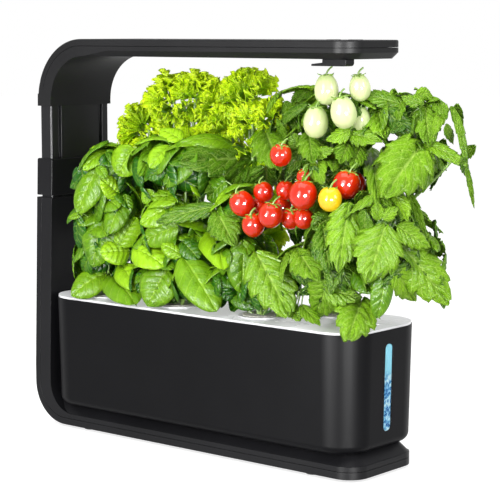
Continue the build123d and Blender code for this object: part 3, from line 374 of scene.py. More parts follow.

# Lettuce: two heads of loose frilled leaves at the back. Each leaf fans out from a pale rib into a thin lime
# green blade with a tightly ruffled margin. The leaves stand on the sponges.
POD_TOP = round(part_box("deck")[1].z, 4)

leaf_skin, leaf_in, leaf_out = new_group(
    "leaf_skin",
    [("Young", "Color", (0.5, 0.7, 0.05, 1)), ("Old", "Color", (0.05, 0.2, 0.01, 1)),
     ("Vein", "Color", (0.5, 0.7, 0.2, 1)), ("Veins", "Float", 5.5), ("Slant", "Float", 0.65),
     ("Net", "Float", 0.3), ("Vein share", "Float", 0.5), ("Speckle", "Float", 0.3)],
    [("Colour", "Color"), ("Roughness", "Float"), ("Height", "Float")],
)


def leaf_sum(operation, *values):
    """A step of arithmetic in the leaf's skin."""
    return reckon(leaf_skin, operation, *values)


def line_mask(distance, width):
    """One along the middle of a line, softly down to zero at its width."""
    return add_node(leaf_skin, "MapRange", interpolation_type="SMOOTHSTEP", Value=distance, From_Min=width,
                    From_Max=0.0).outputs["Result"]


# A rib down the middle, slanting branches off it, and a net of small cells between them.
spot = add_node(leaf_skin, "TexCoord").outputs["Object"]
flat = add_node(leaf_skin, "SeparateXYZ", Vector=add_node(leaf_skin, "UVMap", uv_map="UVMap").outputs["UV"])
off_rib = leaf_sum("ABSOLUTE", leaf_sum("MULTIPLY_ADD", flat.outputs["X"], 2.0, -1.0))
slant = leaf_sum("MULTIPLY", off_rib, leaf_sum("MULTIPLY", leaf_in.outputs["Slant"], 0.35))
along = leaf_sum("SUBTRACT", flat.outputs["Y"], slant)
off_branch = leaf_sum("PINGPONG", leaf_sum("MULTIPLY", along, leaf_in.outputs["Veins"]), 0.5)
rib, branch = line_mask(off_rib, 0.1), line_mask(off_branch, 0.075)
off_cell = add_node(leaf_skin, "TexVoronoi", feature="DISTANCE_TO_EDGE", Vector=spot,
                    Scale=330.0).outputs["Distance"]
net = leaf_sum("MULTIPLY", line_mask(off_cell, 0.09), leaf_in.outputs["Net"])
lines = leaf_sum("MINIMUM", leaf_sum("ADD", leaf_sum("MAXIMUM", rib, branch), net), 1.0)

# From the old colour to the young by each leaf's lightness, which holds painted shade and light as well as its own
# colour, clouded a little, and paler on the veins.
tone_and_shade = add_node(leaf_skin, "Attribute", attribute_name="tone_and_shade").outputs["Fac"]
cloud = add_node(leaf_skin, "TexNoise", Vector=spot, Scale=75.0, Detail=3.0).outputs["Fac"]
speckle = leaf_sum("MULTIPLY", leaf_sum("SUBTRACT", cloud, 0.5), leaf_in.outputs["Speckle"])
blade = add_node(leaf_skin, "MixRGB", use_clamp=True, Fac=leaf_sum("ADD", tone_and_shade, speckle),
                 Color1=leaf_in.outputs["Old"], Color2=leaf_in.outputs["Young"]).outputs["Color"]
veined = add_node(leaf_skin, "MixRGB", Fac=leaf_sum("MULTIPLY", lines, leaf_in.outputs["Vein share"]),
                  Color1=blade, Color2=leaf_in.outputs["Vein"])
dome = leaf_sum("POWER", leaf_sum("MULTIPLY", off_branch, 2.0), 0.6)
relief = leaf_sum("SUBTRACT", leaf_sum("ADD", dome, leaf_sum("MULTIPLY", off_cell, 0.8)),
                  leaf_sum("MULTIPLY", rib, 1.2))
feed(leaf_out, Colour=veined.outputs["Color"], Roughness=leaf_sum("MULTIPLY_ADD", cloud, 0.3, 0.2),
     Height=relief)


def leaf_finish(name, young, old, vein, veins=5.5, slant=0.65, net=0.3, share=0.4, speckle=0.4, relief=0.0008,
                specular=0.25):
    """A leaf's skin, between the colours of its young and its old leaves, with domes between its veins."""
    mat, tree, shader = new_finish(name)
    skin = add_node(tree, "Group", node_tree=leaf_skin, Young=(*young, 1), Old=(*old, 1), Vein=(*vein, 1),
                    Veins=veins, Slant=slant, Net=net, Vein_share=share, Speckle=speckle)
    bump = add_node(tree, "Bump", Strength=0.6, Distance=relief, Height=skin.outputs["Height"])
    feed(shader, Base_Color=skin.outputs["Colour"], Roughness=skin.outputs["Roughness"],
         Normal=bump.outputs["Normal"], Specular_IOR_Level=specular)
    return mat


def new_foliage():
    """An empty shape for leaves, and the layer that holds each leaf's lightness and painted shade."""
    bm = bmesh.new()
    bm.loops.layers.uv.new("UVMap")
    return bm, bm.verts.layers.float.new("tone_and_shade")


def leaf_axes(base, tip, face):
    """Length, and the ways ahead, aside and up of a leaf from its base to its tip, facing a way."""
    ahead = tip - base
    length = ahead.length
    ahead.normalize()
    up = face - ahead * face.dot(ahead)
    if up.length < 0.05:
        up = ahead.orthogonal()
    up.normalize()
    return length, ahead, up.cross(ahead), up


def frilled_leaf(bm, layer, base, tip, face, spread, cup, tone_and_shade, seed):
    """A fan from base to tip whose outer rim is longer than the space it has, so it ruffles."""
    length, ahead, side, up = leaf_axes(base, tip, face)
    made = bmesh.ops.create_grid(bm, x_segments=84, y_segments=6, size=1.0, calc_uvs=True)["verts"]
    first, second, third = seed * 1.7, seed * 4.1, seed * 2.3
    for vert in made:
        out = (vert.co.y + 1) / 2
        turn = vert.co.x * spread
        wide = math.sin(turn * 12 + first) + 0.5 * math.sin(turn * 19 + second)
        fine = math.sin(turn * 34 + third + 1.5 * math.sin(turn * 10 + second))
        rim, frill = out ** 1.8, out ** 4
        lift = 0.1 * rim * wide + 0.17 * frill * fine + cup * (out * out - 0.5 * out)
        bearing = turn + 0.07 * rim * math.cos(turn * 12 + first) + 0.04 * frill * math.cos(turn * 34 + third)
        reach = (0.12 + 0.88 * out ** 0.9) * (1 - 0.12 * abs(vert.co.x) ** 3 + 0.06 * math.sin(turn * 4 + second))
        reach += frill * (0.06 * math.sin(turn * 16 + first) + 0.03 * math.sin(turn * 40 + third)) - 0.06 * rim
        # Painted shade: each fan is darker towards its middle and lighter at its rim and on the crests of its
        # ruffles.
        vert[layer] = tone_and_shade + 0.9 * (out - 0.7) + 0.14 * wide * rim + 0.16 * fine * frill
        vert.co = base + length * (
            ahead * reach * math.cos(bearing) + side * reach * math.sin(bearing) * 0.92 + up * lift)


def hung_piece(bm, name, mat, thickness=0.0):
    """Finish a piece of a plant: it stands in the garden."""
    for face in bm.faces:
        face.smooth = True
    piece = new_piece(name, bm, mat)
    if thickness:
        wall = piece.modifiers.new("thickness", "SOLIDIFY")
        wall.thickness, wall.offset = thickness, 0.0
        piece.data = bpy.data.meshes.new_from_object(piece.evaluated_get(bpy.context.evaluated_depsgraph_get()))
        piece.modifiers.clear()
    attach(piece, "garden")
    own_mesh(piece)
    return piece


def ways(count, seed):
    """Evenly spread directions all round, each a golden angle on from the last."""
    golden = 2.39996
    turn = random.Random(seed).uniform(0, 6.28)
    for i in range(count):
        z = 1 - 2 * (i + 0.5) / count
        level = math.sqrt(1 - z * z)
        yield Vector((level * math.cos(turn + golden * i), level * math.sin(turn + golden * i), z))


def clumps(plant, places):
    """Centre and radius of each clump of leaves, in metres, from millimetres off the plant's pod."""
    x, y = PODS[plant]
    return [(Vector((x + a * MM, y + b * MM, POD_TOP + c * MM)), r * MM) for a, b, c, r in places]


def pod_foot(plant):
    """Where the plant's stalks come out of its sponge."""
    return Vector((*PODS[plant], POD_TOP - 4 * MM))


def inside_others(at, middle, heads, share):
    """Whether a place lies in another clump, by a share of that clump's radius."""
    return any((at - other).length < share * size for other, size in heads if other != middle)


def stalks(runs, name, mat, taper=0.55):
    """Round stalks along runs of points, each thinner towards its end."""
    curve = bpy.data.curves.new(name, "CURVE")
    curve.dimensions = "3D"
    curve.bevel_depth = 1.0
    curve.bevel_resolution = 2
    curve.use_fill_caps = True
    for points, radius in runs:
        line = curve.splines.new("NURBS")
        line.points.add(len(points) - 1)
        for i, (knot, point) in enumerate(zip(line.points, points)):
            knot.co = (*point, 1)
            knot.radius = radius * (1 - (1 - taper) * i / (len(points) - 1))
        line.order_u = min(4, len(points))
        line.use_endpoint_u = True
        line.resolution_u = 5
    holder = bpy.data.objects.new(name, curve)
    mesh = bpy.data.meshes.new_from_object(holder)
    bm = bmesh.new()
    bm.from_mesh(mesh)
    bpy.data.objects.remove(holder)
    bpy.data.meshes.remove(mesh)
    hung_piece(bm, name, mat)


lettuce_lime = leaf_finish("lettuce_lime", (0.68, 0.91, 0.012), (0.19, 0.43, 0.0005), (0.75, 0.92, 0.1), veins=7.0,
                           net=0.2, share=0.25, speckle=0.6, relief=0.0006, specular=0.07)
stalk_green = moulded_finish("stalk_green", (0.3, 0.52, 0.08), roughness=0.5, grain=500.0, relief=0.0002)

# Clumps of leaves: X, Y and Z off the plant's pod, and radius, in millimetres.
LETTUCE = {
    "lettuce_left": [(-67, 9, 128, 28), (-43, 8, 161, 32), (-10, 9, 191, 31), (20, 8, 195, 28), (50, 8, 188, 27),
                     (-24, -4, 142, 27), (46, 6, 150, 27), (-52, -6, 112, 24), (15, 8, 138, 33),
                     (-25, 8, 111, 32), (0, 8, 66, 33), (-45, 8, 74, 30), (0, 6, 42, 26)],
    "lettuce_right": [(-12, 8, 196, 31), (-7, 8, 151, 32), (2, -4, 174, 24), (-34, 6, 172, 26), (18, 4, 176, 22),
                      (-10, 8, 106, 33), (-3, 8, 61, 29), (0, 6, 40, 24)],
}
LEAF_WAYS = 24
for plant, places in LETTUCE.items():
    dice = random.Random(len(places))
    heads = clumps(plant, places)
    foot = pod_foot(plant)
    runs = []
    for part, chosen in (("upper", heads[:5]), ("lower", heads[5:9]), ("foot", heads[9:])):
        if not chosen:
            continue
        bm, layer = new_foliage()
        for number, (middle, radius) in enumerate(chosen):
            runs.append(([foot, (foot + middle) / 2 - Vector((0, 0, 10 * MM)), middle], 3.2 * MM))
            for way in ways(LEAF_WAYS, number + 3):
                tip = middle + way * radius * 1.04
                if inside_others(tip, middle, heads, 0.8) or way.z < -0.8:
                    continue
                base = middle + way * radius * 0.38 - Vector((0, 0, radius * 0.15))
                face = Vector((dice.uniform(-0.8, 0.8), dice.uniform(-0.9, 0.3), 0.7)) + way * 0.2
                # Painted light: leaves that point up are lighter.
                frilled_leaf(bm, layer, base, tip, face, dice.uniform(1.0, 1.35), dice.uniform(-0.4, 0.4),
                             dice.uniform(0.4, 0.85) + 0.15 * way.z, dice.uniform(0, 30))
        leaves = hung_piece(bm, f"{plant}_{part}_leaves", lettuce_lime, 0.3 * MM)
        if part == "upper":
            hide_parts(plant)
    stalks(runs, plant + "_ribs", stalk_green)

# Basil: three plants along the front. Pairs of glossy leaves domed between their veins, dark and large low
# down, small and lime green at the tops, on square-set thin stalks. Painted shade darkens the underside of each
# clump and painted light brightens its top.
basil_green = leaf_finish("basil_green", (0.36, 0.66, 0.012), (0.018, 0.12, 0.001), (0.5, 0.74, 0.08), veins=5.5,
                          net=0.04, share=0.3, speckle=0.5, relief=0.001, specular=0.14)
BLADE_WALL = 0.35 * MM


def plain_leaf(bm, layer, base, tip, face, width, form, bend, cup, tone_and_shade, seed, across=10, along=22):
    """A leaf from base to tip. The form gives its outline, its teeth and its relief."""
    length, ahead, side, up = leaf_axes(base, tip, face)
    half = width / 2 / length
    made = bmesh.ops.create_grid(bm, x_segments=across, y_segments=along, size=1.0, calc_uvs=True)["verts"]
    chord = 2 * math.sin(bend / 2)
    for vert in made:
        over, out = vert.co.x, (vert.co.y + 1) / 2
        share, push, lift = form(over, out, seed)
        heading = bend * (0.5 - out)
        turn = cup * over
        aside = share * half * math.sin(turn) / cup
        rise = lift * half - share * half * (1 - math.cos(turn)) / cup
        reach = (math.sin(bend / 2) - math.sin(heading)) / chord
        arch = (math.cos(heading) - math.cos(bend / 2)) / chord
        vert[layer] = tone_and_shade
        vert.co = base + length * (
            ahead * (reach + push * math.cos(heading) - rise * math.sin(heading)) + side * aside
            + up * (arch + push * math.sin(heading) + rise * math.cos(heading)))


def basil_form(over, out, seed):
    """A pointed oval with deep domes between its veins. Over runs across the leaf, out from base to tip."""
    share = (out + 0.02) ** 0.52 * max(1 - out, 0) ** 0.62 / 0.46
    dome = abs(math.sin(math.pi * (5.5 * out - 1.25 * abs(over) + 0.25)))
    lift = 0.1 * dome ** 0.8 * (1 - over ** 4) * min(1, 5 * (1 - out)) * min(1, 6 * out)
    lift -= 0.2 * math.exp(-(over / 0.16) ** 2) * (1 - 0.5 * out)
    lift += 0.07 * math.sin(7 * out + seed) * over * over
    return share, 0.0, lift


def leaf_rows(rows, wider):
    """Each placed leaf: base and tip, width, the way it faces, its bend, its cup and its tone."""
    for row in rows:
        base, tip = Vector(row[0:3]) * MM, Vector(row[3:6]) * MM
        yield base, tip, row[6] * MM * wider, Vector(row[7:10]), row[10], row[11], row[12]


FRONT = Vector((0.635, -0.762, 0.124))  # the side on which the large placed leaves cover the small ones
COLUMN_SIDE = -190 * MM  # leaves keep clear of the column


def hanging_leaves(bm, layer, heads, count, form, shape, tones, dice, grid):
    """Leaves that lie over each clump like tiles, tips down and outwards. Shape is length and width by radius."""
    for number, (middle, radius) in enumerate(heads):
        for way in ways(count, number + 11):
            seen = max(0.0, way.dot(FRONT))
            at = middle + way * radius * (dice.uniform(0.76, 0.9) - 0.55 * seen)
            if way.z < -0.75 or inside_others(at, middle, heads, 0.75):
                continue
            down = Vector((0, 0, -1)) + way * way.z + 0.12 * Vector((dice.uniform(-1, 1), dice.uniform(-1, 1), 0))
            down.normalize()
            down = (down + way.cross(down) * dice.uniform(-1.4, 1.4)).normalized()
            length = radius * shape[0] * dice.uniform(0.8, 1.15)
            base = at - down * length * 0.5 - way * radius * 0.08
            tip = at + down * length * 0.5 + way * radius * 0.05
            if min(base.x, tip.x) < COLUMN_SIDE:
                continue
            # Painted light and shade: leaves high on a clump are lighter, and those at the front, set deep among
            # the placed leaves, darker.
            tone_and_shade = dice.uniform(*tones) + 0.3 * way.z - 0.25 * seen
            width = length * shape[1] * dice.uniform(0.85, 1.1)
            plain_leaf(bm, layer, base, tip, way + Vector((0, 0, 0.25)), width, form, dice.uniform(0.3, 0.9),
                       dice.uniform(0.3, 0.7), tone_and_shade, dice.uniform(0, 6), *grid)


# Placed leaves, in millimetres: base X, Y, Z, tip X, Y, Z and width. Then the way it faces X, Y, Z, bend, cup
# and tone.
basil_leaves = [
    (-147, -33, 278, -157, -58, 260, 16, 0.3, -0.6, 0.8, 1.2, 0.5, 0.55),
    (-110, -37, 284, -121, -46, 256, 27, 0.5, -0.6, 0.6, 0.8, 0.5, 0.60),
    (-94, -19, 295, -81, -61, 258, 14, 0.9, -0.4, 0.4, 0.7, 0.6, 0.30),
    (-65, -35, 287, -69, -58, 267, 17, 0.5, -0.4, 0.7, 0.6, 0.5, 0.70),
    (-61, -22, 292, -86, -25, 301, 16, 0.4, -0.5, 0.8, 0.5, 0.4, 1.00),
    (-25, 15, 285, -46, -43, 290, 19, 0.4, -0.5, 0.8, 1.1, 0.8, 0.45),
    (-146, -46, 265, -162, -61, 218, 26, 0.2, -0.9, 0.4, 0.7, 0.6, 0.40),
    (-145, -51, 265, -131, -53, 254, 9, 0.6, -0.7, 0.4, 0.4, 0.4, 0.30),
    (-144, -44, 214, -150, -53, 166, 30, 0.3, -0.9, 0.4, 0.6, 0.5, 0.30),
    (-161, -55, 218, -174, -62, 213, 6, 0.5, -0.6, 0.6, 0.4, 0.4, 0.50),
    (-128, -32, 236, -127, -55, 200, 22, 0.4, -0.8, 0.4, 0.5, 0.8, 0.35),
    (-125, -33, 237, -117, -37, 218, 10, 0.6, -0.7, 0.4, 0.4, 0.4, 0.30),
    (-130, -36, 237, -137, -54, 253, 18, 0.5, -0.6, 0.6, 0.3, 0.2, 1.20),
    (-124, -43, 188, -118, -25, 215, 22, 0.6, -0.7, 0.3, 0.3, 0.4, 0.60),
    (-120, -33, 183, -133, -60, 182, 23, 0.5, -0.7, 0.5, 0.6, 0.5, 0.85),
    (-91, -56, 190, -52, -57, 176, 24, 0.6, -0.6, 0.6, 0.6, 0.5, 0.85),
    (-130, -35, 170, -92, -53, 150, 21, 0.6, -0.7, 0.4, 0.5, 0.5, 0.75),
    (-152, -34, 159, -169, -64, 137, 25, 0.4, -0.7, 0.6, 0.9, 0.6, 0.45),
    (-150, -29, 157, -82, -64, 137, 28, 0.5, -0.6, 0.6, 0.6, 0.5, 0.35),
    (-56, -50, 172, -68, -64, 137, 29, 0.5, -0.6, 0.6, 0.5, 0.4, 0.40),
    (-35, -51, 187, 13, -58, 140, 30, 0.6, -0.6, 0.4, 0.5, 0.5, 0.40),
    (-34, -52, 187, -52, -62, 197, 14, 0.5, -0.6, 0.6, 0.9, 0.9, 0.60),
    (-69, -48, 182, -41, -57, 174, 11, 0.6, -0.7, 0.4, 0.4, 0.4, 0.25),
    (-47, -28, 234, -77, -48, 239, 25, 0.4, -0.5, 0.7, 1.0, 1.0, 0.45),
    (-78, -46, 245, -85, -50, 232, 12, 0.6, -0.7, 0.5, 0.4, 0.4, 0.60),
    (-47, -37, 234, -78, -62, 214, 24, 0.5, -0.6, 0.7, 0.8, 0.6, 0.60),
    (-42, -50, 214, -79, -59, 197, 21, 0.6, -0.7, 0.3, 0.5, 0.5, 0.40),
    (-42, -6, 208, -37, -58, 217, 17, 0.4, -0.5, 0.7, 0.8, 0.7, 0.95),
    (-42, -5, 205, 28, -65, 180, 28, 0.6, -0.6, 0.6, 0.9, 0.9, 0.80),
    (35, -46, 206, 35, -49, 157, 24, 0.7, -0.6, 0.3, 0.4, 0.7, 0.30),
    (-30, -32, 242, -25, -50, 251, 10, 0.5, -0.6, 0.6, 0.4, 0.4, 0.90),
    (-5, -24, 256, -30, -22, 237, 19, 0.6, -0.7, 0.5, 0.5, 0.4, 0.20),
    (6, -19, 253, 7, -52, 237, 8, 0.5, -0.6, 0.6, 0.5, 0.4, 0.65),
    (-38, -48, 200, -19, -46, 184, 16, 0.6, -0.7, 0.4, 0.4, 0.4, 0.10),
    (-56, -51, 268, -74, -57, 257, 13, 0.6, -0.7, 0.4, 0.4, 0.4, 0.05),
    (29, -42, 168, 51, -37, 153, 24, 0.6, -0.7, 0.4, 0.4, 0.4, 0.10),
    (12, -36, 156, 42, -30, 145, 19, 0.6, -0.7, 0.5, 0.4, 0.4, 0.10),
]

BASIL = {
    "basil_left": [(-5, -8, 118, 32), (17, -8, 126, 28), (20, -8, 92, 27), (-4, -8, 72, 31), (18, -8, 58, 28),
                   (-2, -6, 38, 27)],
    "basil_middle": [(-17, -8, 132, 30), (17, -8, 130, 30), (0, -8, 80, 33), (-20, -8, 50, 27),
                     (20, -8, 52, 27), (0, -6, 36, 25), (0, -17, 20, 17), (-26, -18, 24, 17),
                     (26, -18, 24, 17)],
    "basil_right": [(-20, -4, 92, 28), (-13, -8, 54, 30), (0, -4, 34, 22), (-30, -14, 28, 22), (14, -16, 28, 20),
                    (30, -12, 40, 22)],
}
basil_pods = sorted(PODS[name] for name in BASIL)
for plant, places in BASIL.items():
    dice = random.Random(len(places) * 7 + len(plant))
    bm, layer = new_foliage()
    heads = clumps(plant, places)
    x, y = PODS[plant]
    foot = pod_foot(plant)
    runs = []
    for middle, radius in heads:
        knee = (foot + middle) / 2 - Vector((0, 0, 6 * MM))
        runs.append(([foot, knee, middle, middle + Vector((0, 0, radius * 0.5))], 1.8 * MM))
    hanging_leaves(bm, layer, heads, 19, basil_form, (1.35, 0.7), (-0.05, 0.4), dice, (8, 18))
    for base, tip, width, face, bend, cup, tone_and_shade in leaf_rows(basil_leaves, 1.3):
        nearest = min(basil_pods, key=lambda pod: abs(pod[0] - base.x))
        if nearest != (x, y):
            continue
        plain_leaf(bm, layer, base, tip, face, width, basil_form, bend, cup, tone_and_shade, tip.x * 300)
        root = base + (Vector((x, y + 5 * MM, base.z)) - base) * 0.35 + Vector((0, 4 * MM, -12 * MM))
        runs.append(([root, (root + base) / 2 + Vector((0, 0, 2 * MM)), base], 0.9 * MM))
    leaves = hung_piece(bm, plant + "_leaves", basil_green, BLADE_WALL)
    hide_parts(plant)
    stalks(runs, plant + "_stalks", stalk_green)

# Tomato plant: a bush of lobed, toothed leaves with pale veins on green stalks, arching over to the right
# and down over the tank's rim. A few smooth leaves of the basil's kind grow through it.
tomato_green = leaf_finish("tomato_green", (0.29, 0.56, 0.013), (0.03, 0.12, 0.001), (0.55, 0.76, 0.16), veins=6.0,
                           slant=1.1, net=0.55, share=0.45, speckle=0.6, relief=0.0014, specular=0.08)


def tomato_form(over, out, seed):
    """A broad blade with large and small teeth, puckered between its veins, its halves out of step."""
    share = (out + 0.015) ** 0.5 * max(1 - out, 0) ** 0.85 / 0.40
    tooth = (4.6 * out + 0.13 * seed + 0.1 * (over > 0)) % 1.0
    small = (13.8 * out + 0.3 * seed) % 1.0
    share *= 0.76 + 0.24 * tooth ** 0.7 - 0.06 * small
    push = 0.045 * over * over * (tooth - 0.2) + 0.02 * over * over
    dome = abs(math.sin(math.pi * (6 * out - 2.1 * abs(over))))
    lift = 0.13 * dome ** 0.7 * (1 - over ** 4) - 0.18 * math.exp(-(over / 0.14) ** 2)
    lift += 0.16 * math.sin(5.5 * out + seed + (1.4 if over > 0 else 0)) * over * over
    return share, push, lift


tomato_leaves = [
    (-12, 25, 274, -33, -55, 274, 33, 0.6, -0.7, 0.4, 0.3, 0.3, 0.15),
    (-12, 25, 273, -23, -30, 246, 24, 0.6, -0.7, 0.4, 0.3, 0.3, 0.20),
    (-12, 42, 308, -77, 46, 311, 7, 0.5, -0.6, 0.6, 0.5, 0.3, 0.10),
    (13, 12, 301, 71, -39, 269, 29, 0.6, -0.7, 0.3, 0.4, 0.3, 0.35),
    (-3, -41, 234, -52, -66, 218, 16, 0.5, -0.6, 0.6, 0.4, 0.3, 0.12),
    (1, -45, 232, 34, -58, 203, 25, 0.6, -0.7, 0.2, 0.4, 0.3, 0.25),
    (46, 43, 341, 51, 4, 329, 13, 0.5, -0.6, 0.6, 0.4, 0.3, 0.15),
    (79, -8, 329, 38, -2, 307, 10, 0.5, -0.6, 0.6, 0.4, 0.3, 0.10),
    (84, -25, 291, 72, -24, 302, 13, 0.6, -0.7, 0.5, 0.3, 0.3, 0.25),
    (84, -14, 303, 111, -43, 279, 18, 0.6, -0.7, 0.4, 0.3, 0.3, 0.30),
    (131, -15, 308, 111, -21, 298, 14, 0.5, -0.6, 0.6, 0.4, 0.3, 0.75),
    (104, -33, 285, 118, -20, 291, 10, 0.5, -0.6, 0.6, 0.3, 0.3, 0.50),
    (128, -12, 304, 158, -5, 298, 16, 0.5, -0.6, 0.6, 0.5, 0.3, 0.50),
    (168, 12, 330, 137, -3, 338, 16, 0.5, -0.6, 0.6, 0.4, 0.3, 0.30),
    (140, 12, 328, 159, -3, 302, 24, 0.6, -0.7, 0.2, 0.4, 0.3, 0.55),
    (186, 17, 331, 170, 7, 337, 11, 0.5, -0.6, 0.6, 0.4, 0.3, 0.35),
    (177, 18, 337, 179, 38, 337, 10, 0.6, -0.7, 0.5, 2.0, 0.3, 0.45),
    (182, 25, 331, 200, 6, 296, 21, 0.6, -0.7, 0.2, 0.4, 0.4, 0.35),
    (183, 35, 336, 214, 11, 319, 10, 0.6, -0.7, 0.5, 0.5, 0.3, 0.30),
    (206, 30, 329, 229, 21, 275, 7, 0.8, -0.5, 0.4, 0.8, 0.3, 0.30),
    (194, 11, 297, 231, 17, 280, 12, 0.5, -0.6, 0.6, 0.5, 0.3, 0.45),
    (229, 19, 281, 228, 35, 242, 4, 0.6, -0.7, 0.3, 0.3, 0.3, 0.30),
    (189, 12, 297, 190, -46, 255, 36, 0.6, -0.7, 0.4, 0.5, 0.3, 0.45),
    (193, 16, 297, 192, 5, 255, 18, 0.6, -0.7, 0.2, 0.4, 0.3, 0.30),
    (177, 6, 257, 203, -1, 218, 7, 0.6, -0.7, 0.5, 0.5, 0.3, 0.35),
    (111, 45, 287, 186, -50, 249, 17, 0.6, -0.7, 0.2, 0.3, 0.3, 0.40),
    (151, -43, 247, 155, -63, 191, 25, 0.6, -0.7, 0.3, 0.4, 0.3, 0.55),
    (188, -40, 231, 180, -55, 182, 33, 0.6, -0.7, 0.3, 0.4, 0.3, 0.50),
    (186, -24, 255, 202, -28, 234, 13, 0.6, -0.7, 0.5, 0.4, 0.3, 0.80),
    (188, -51, 235, 186, -51, 251, 9, 0.6, -0.7, 0.4, 0.3, 0.3, 0.50),
    (191, -49, 236, 199, -39, 246, 9, 0.6, -0.7, 0.5, 0.3, 0.3, 0.50),
    (189, -50, 238, 184, -55, 246, 8, 0.6, -0.7, 0.5, 0.3, 0.3, 0.50),
    (193, -31, 229, 210, -8, 210, 17, 0.6, -0.7, 0.5, 0.4, 0.3, 0.50),
    (191, -21, 212, 216, 13, 160, 32, 0.7, -0.6, 0.4, 0.3, 0.3, 0.50),
    (194, -37, 194, 190, 0, 161, 19, 0.6, -0.7, 0.3, 0.4, 0.3, 0.60),
    (207, 14, 181, 212, 14, 155, 10, 0.6, -0.7, 0.3, 0.3, 0.3, 0.10),
    (56, -54, 198, 93, -52, 143, 35, 0.6, -0.7, 0.4, 0.4, 0.3, 0.50),
    (97, -46, 202, 135, -66, 180, 23, 0.6, -0.7, 0.4, 0.3, 0.3, 0.40),
    (141, -55, 180, 109, -36, 144, 26, 0.6, -0.7, 0.4, 0.3, 0.3, 0.45),
    (152, -24, 162, 166, -64, 132, 30, 0.6, -0.7, 0.3, 0.6, 0.3, 0.50),
    (91, -38, 151, 83, -57, 143, 10, 0.5, -0.6, 0.6, 0.3, 0.3, 0.50),
    (94, -36, 151, 132, -59, 140, 11, 0.6, -0.7, 0.5, 0.3, 0.3, 0.50),
    (91, -44, 148, 100, -46, 139, 10, 0.6, -0.7, 0.5, 0.3, 0.3, 0.50),
    (135, -58, 172, 158, -35, 164, 19, 0.5, -0.6, 0.6, 0.3, 0.3, 0.45),
    (126, -36, 232, 121, -55, 224, 18, 0.6, -0.7, 0.5, 0.3, 0.3, 0.15),
    (127, -48, 225, 146, -64, 188, 18, 0.6, -0.7, 0.3, 0.3, 0.3, 0.10),
    (43, -24, 273, 17, 9, 245, 24, 0.6, -0.7, 0.3, 0.3, 0.3, 0.10),
    (66, -31, 270, 27, 23, 243, 15, 0.6, -0.7, 0.3, 0.3, 0.3, 0.10),
    (124, -7, 297, 132, -31, 279, 15, 0.6, -0.7, 0.4, 0.3, 0.3, 0.30),
    (131, 1, 294, 138, -21, 274, 15, 0.6, -0.7, 0.4, 0.3, 0.3, 0.35),
]

smooth_leaves = [
    (154, -35, 189, 176, -40, 170, 19, 0.6, -0.7, 0.4, 0.5, 0.5, 0.20),
    (187, -38, 191, 180, -41, 149, 16, 0.8, -0.5, 0.4, 0.6, 0.5, 0.25),
]
TOMATO = [
    (-40, -5, 181, 30), (-42, 8, 135, 30), (-42, 8, 88, 29), (8, -22, 180, 31), (40, -23, 184, 28),
    (80, -8, 182, 29), (112, -3, 178, 26), (126, -3, 150, 23), (88, -10, 145, 33),
    (60, -15, 95, 33), (102, -20, 62, 28), (85, -55, 100, 30), (95, -55, 60, 26), (25, -47, 128, 30),
    (13, -45, 90, 24), (-13, -39, 146, 27), (40, -58, 70, 31), (10, -60, 48, 28), (52, -66, 47, 25),
    (5, 8, 60, 33), (0, 5, 34, 22), (40, 8, 100, 33), (10, 8, 130, 33), (70, 8, 80, 30),
]
FLAP_SIDE = 140 * MM  # beyond this the stalks arch over the fill flap
dice = random.Random(5)
bm, layer = new_foliage()
heads = clumps("tomato", TOMATO)
foot = pod_foot("tomato")
runs = []
for middle, radius in heads:
    knee = (foot * 0.6 + middle * 0.4) + Vector((0, 0, 10 * MM))
    if middle.x > FLAP_SIDE:
        knee = Vector((foot.x + 8 * MM, foot.y * 0.8 + middle.y * 0.2, foot.z + 75 * MM))
    runs.append(([foot, knee, middle * 0.8 + foot * 0.2, middle], 2.4 * MM))
# The two clumps furthest out carry only a few leaves.
hanging_leaves(bm, layer, heads[:6] + heads[8:], 14, tomato_form, (1.35, 0.52), (0.0, 0.5), dice, (6, 18))
hanging_leaves(bm, layer, heads[6:8], 6, tomato_form, (1.25, 0.4), (0.2, 0.6), dice, (6, 18))
leaves = hung_piece(bm, "tomato_back_leaves", tomato_green, BLADE_WALL)
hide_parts("tomato_plant")
bm, layer = new_foliage()
for base, tip, width, face, bend, cup, tone_and_shade in leaf_rows(tomato_leaves, 1.4):
    plain_leaf(bm, layer, base, tip, face, width, tomato_form, bend, cup, tone_and_shade, tip.x * 300, 12, 40)
    trunk = min(heads, key=lambda head: (head[0] - base).length)[0]
    runs.append(([base + (trunk - base) * 0.5, base + (trunk - base) * 0.2, base], 1.1 * MM))
hung_piece(bm, "tomato_front_leaves", tomato_green, BLADE_WALL)
bm, layer = new_foliage()
for base, tip, width, face, bend, cup, tone_and_shade in leaf_rows(smooth_leaves, 1.3):
    plain_leaf(bm, layer, base, tip, face, width, basil_form, bend, cup, tone_and_shade, 2.0)
hung_piece(bm, "smooth_leaves", basil_green, BLADE_WALL)
stalks(runs, "tomato_stalks", stalk_green)

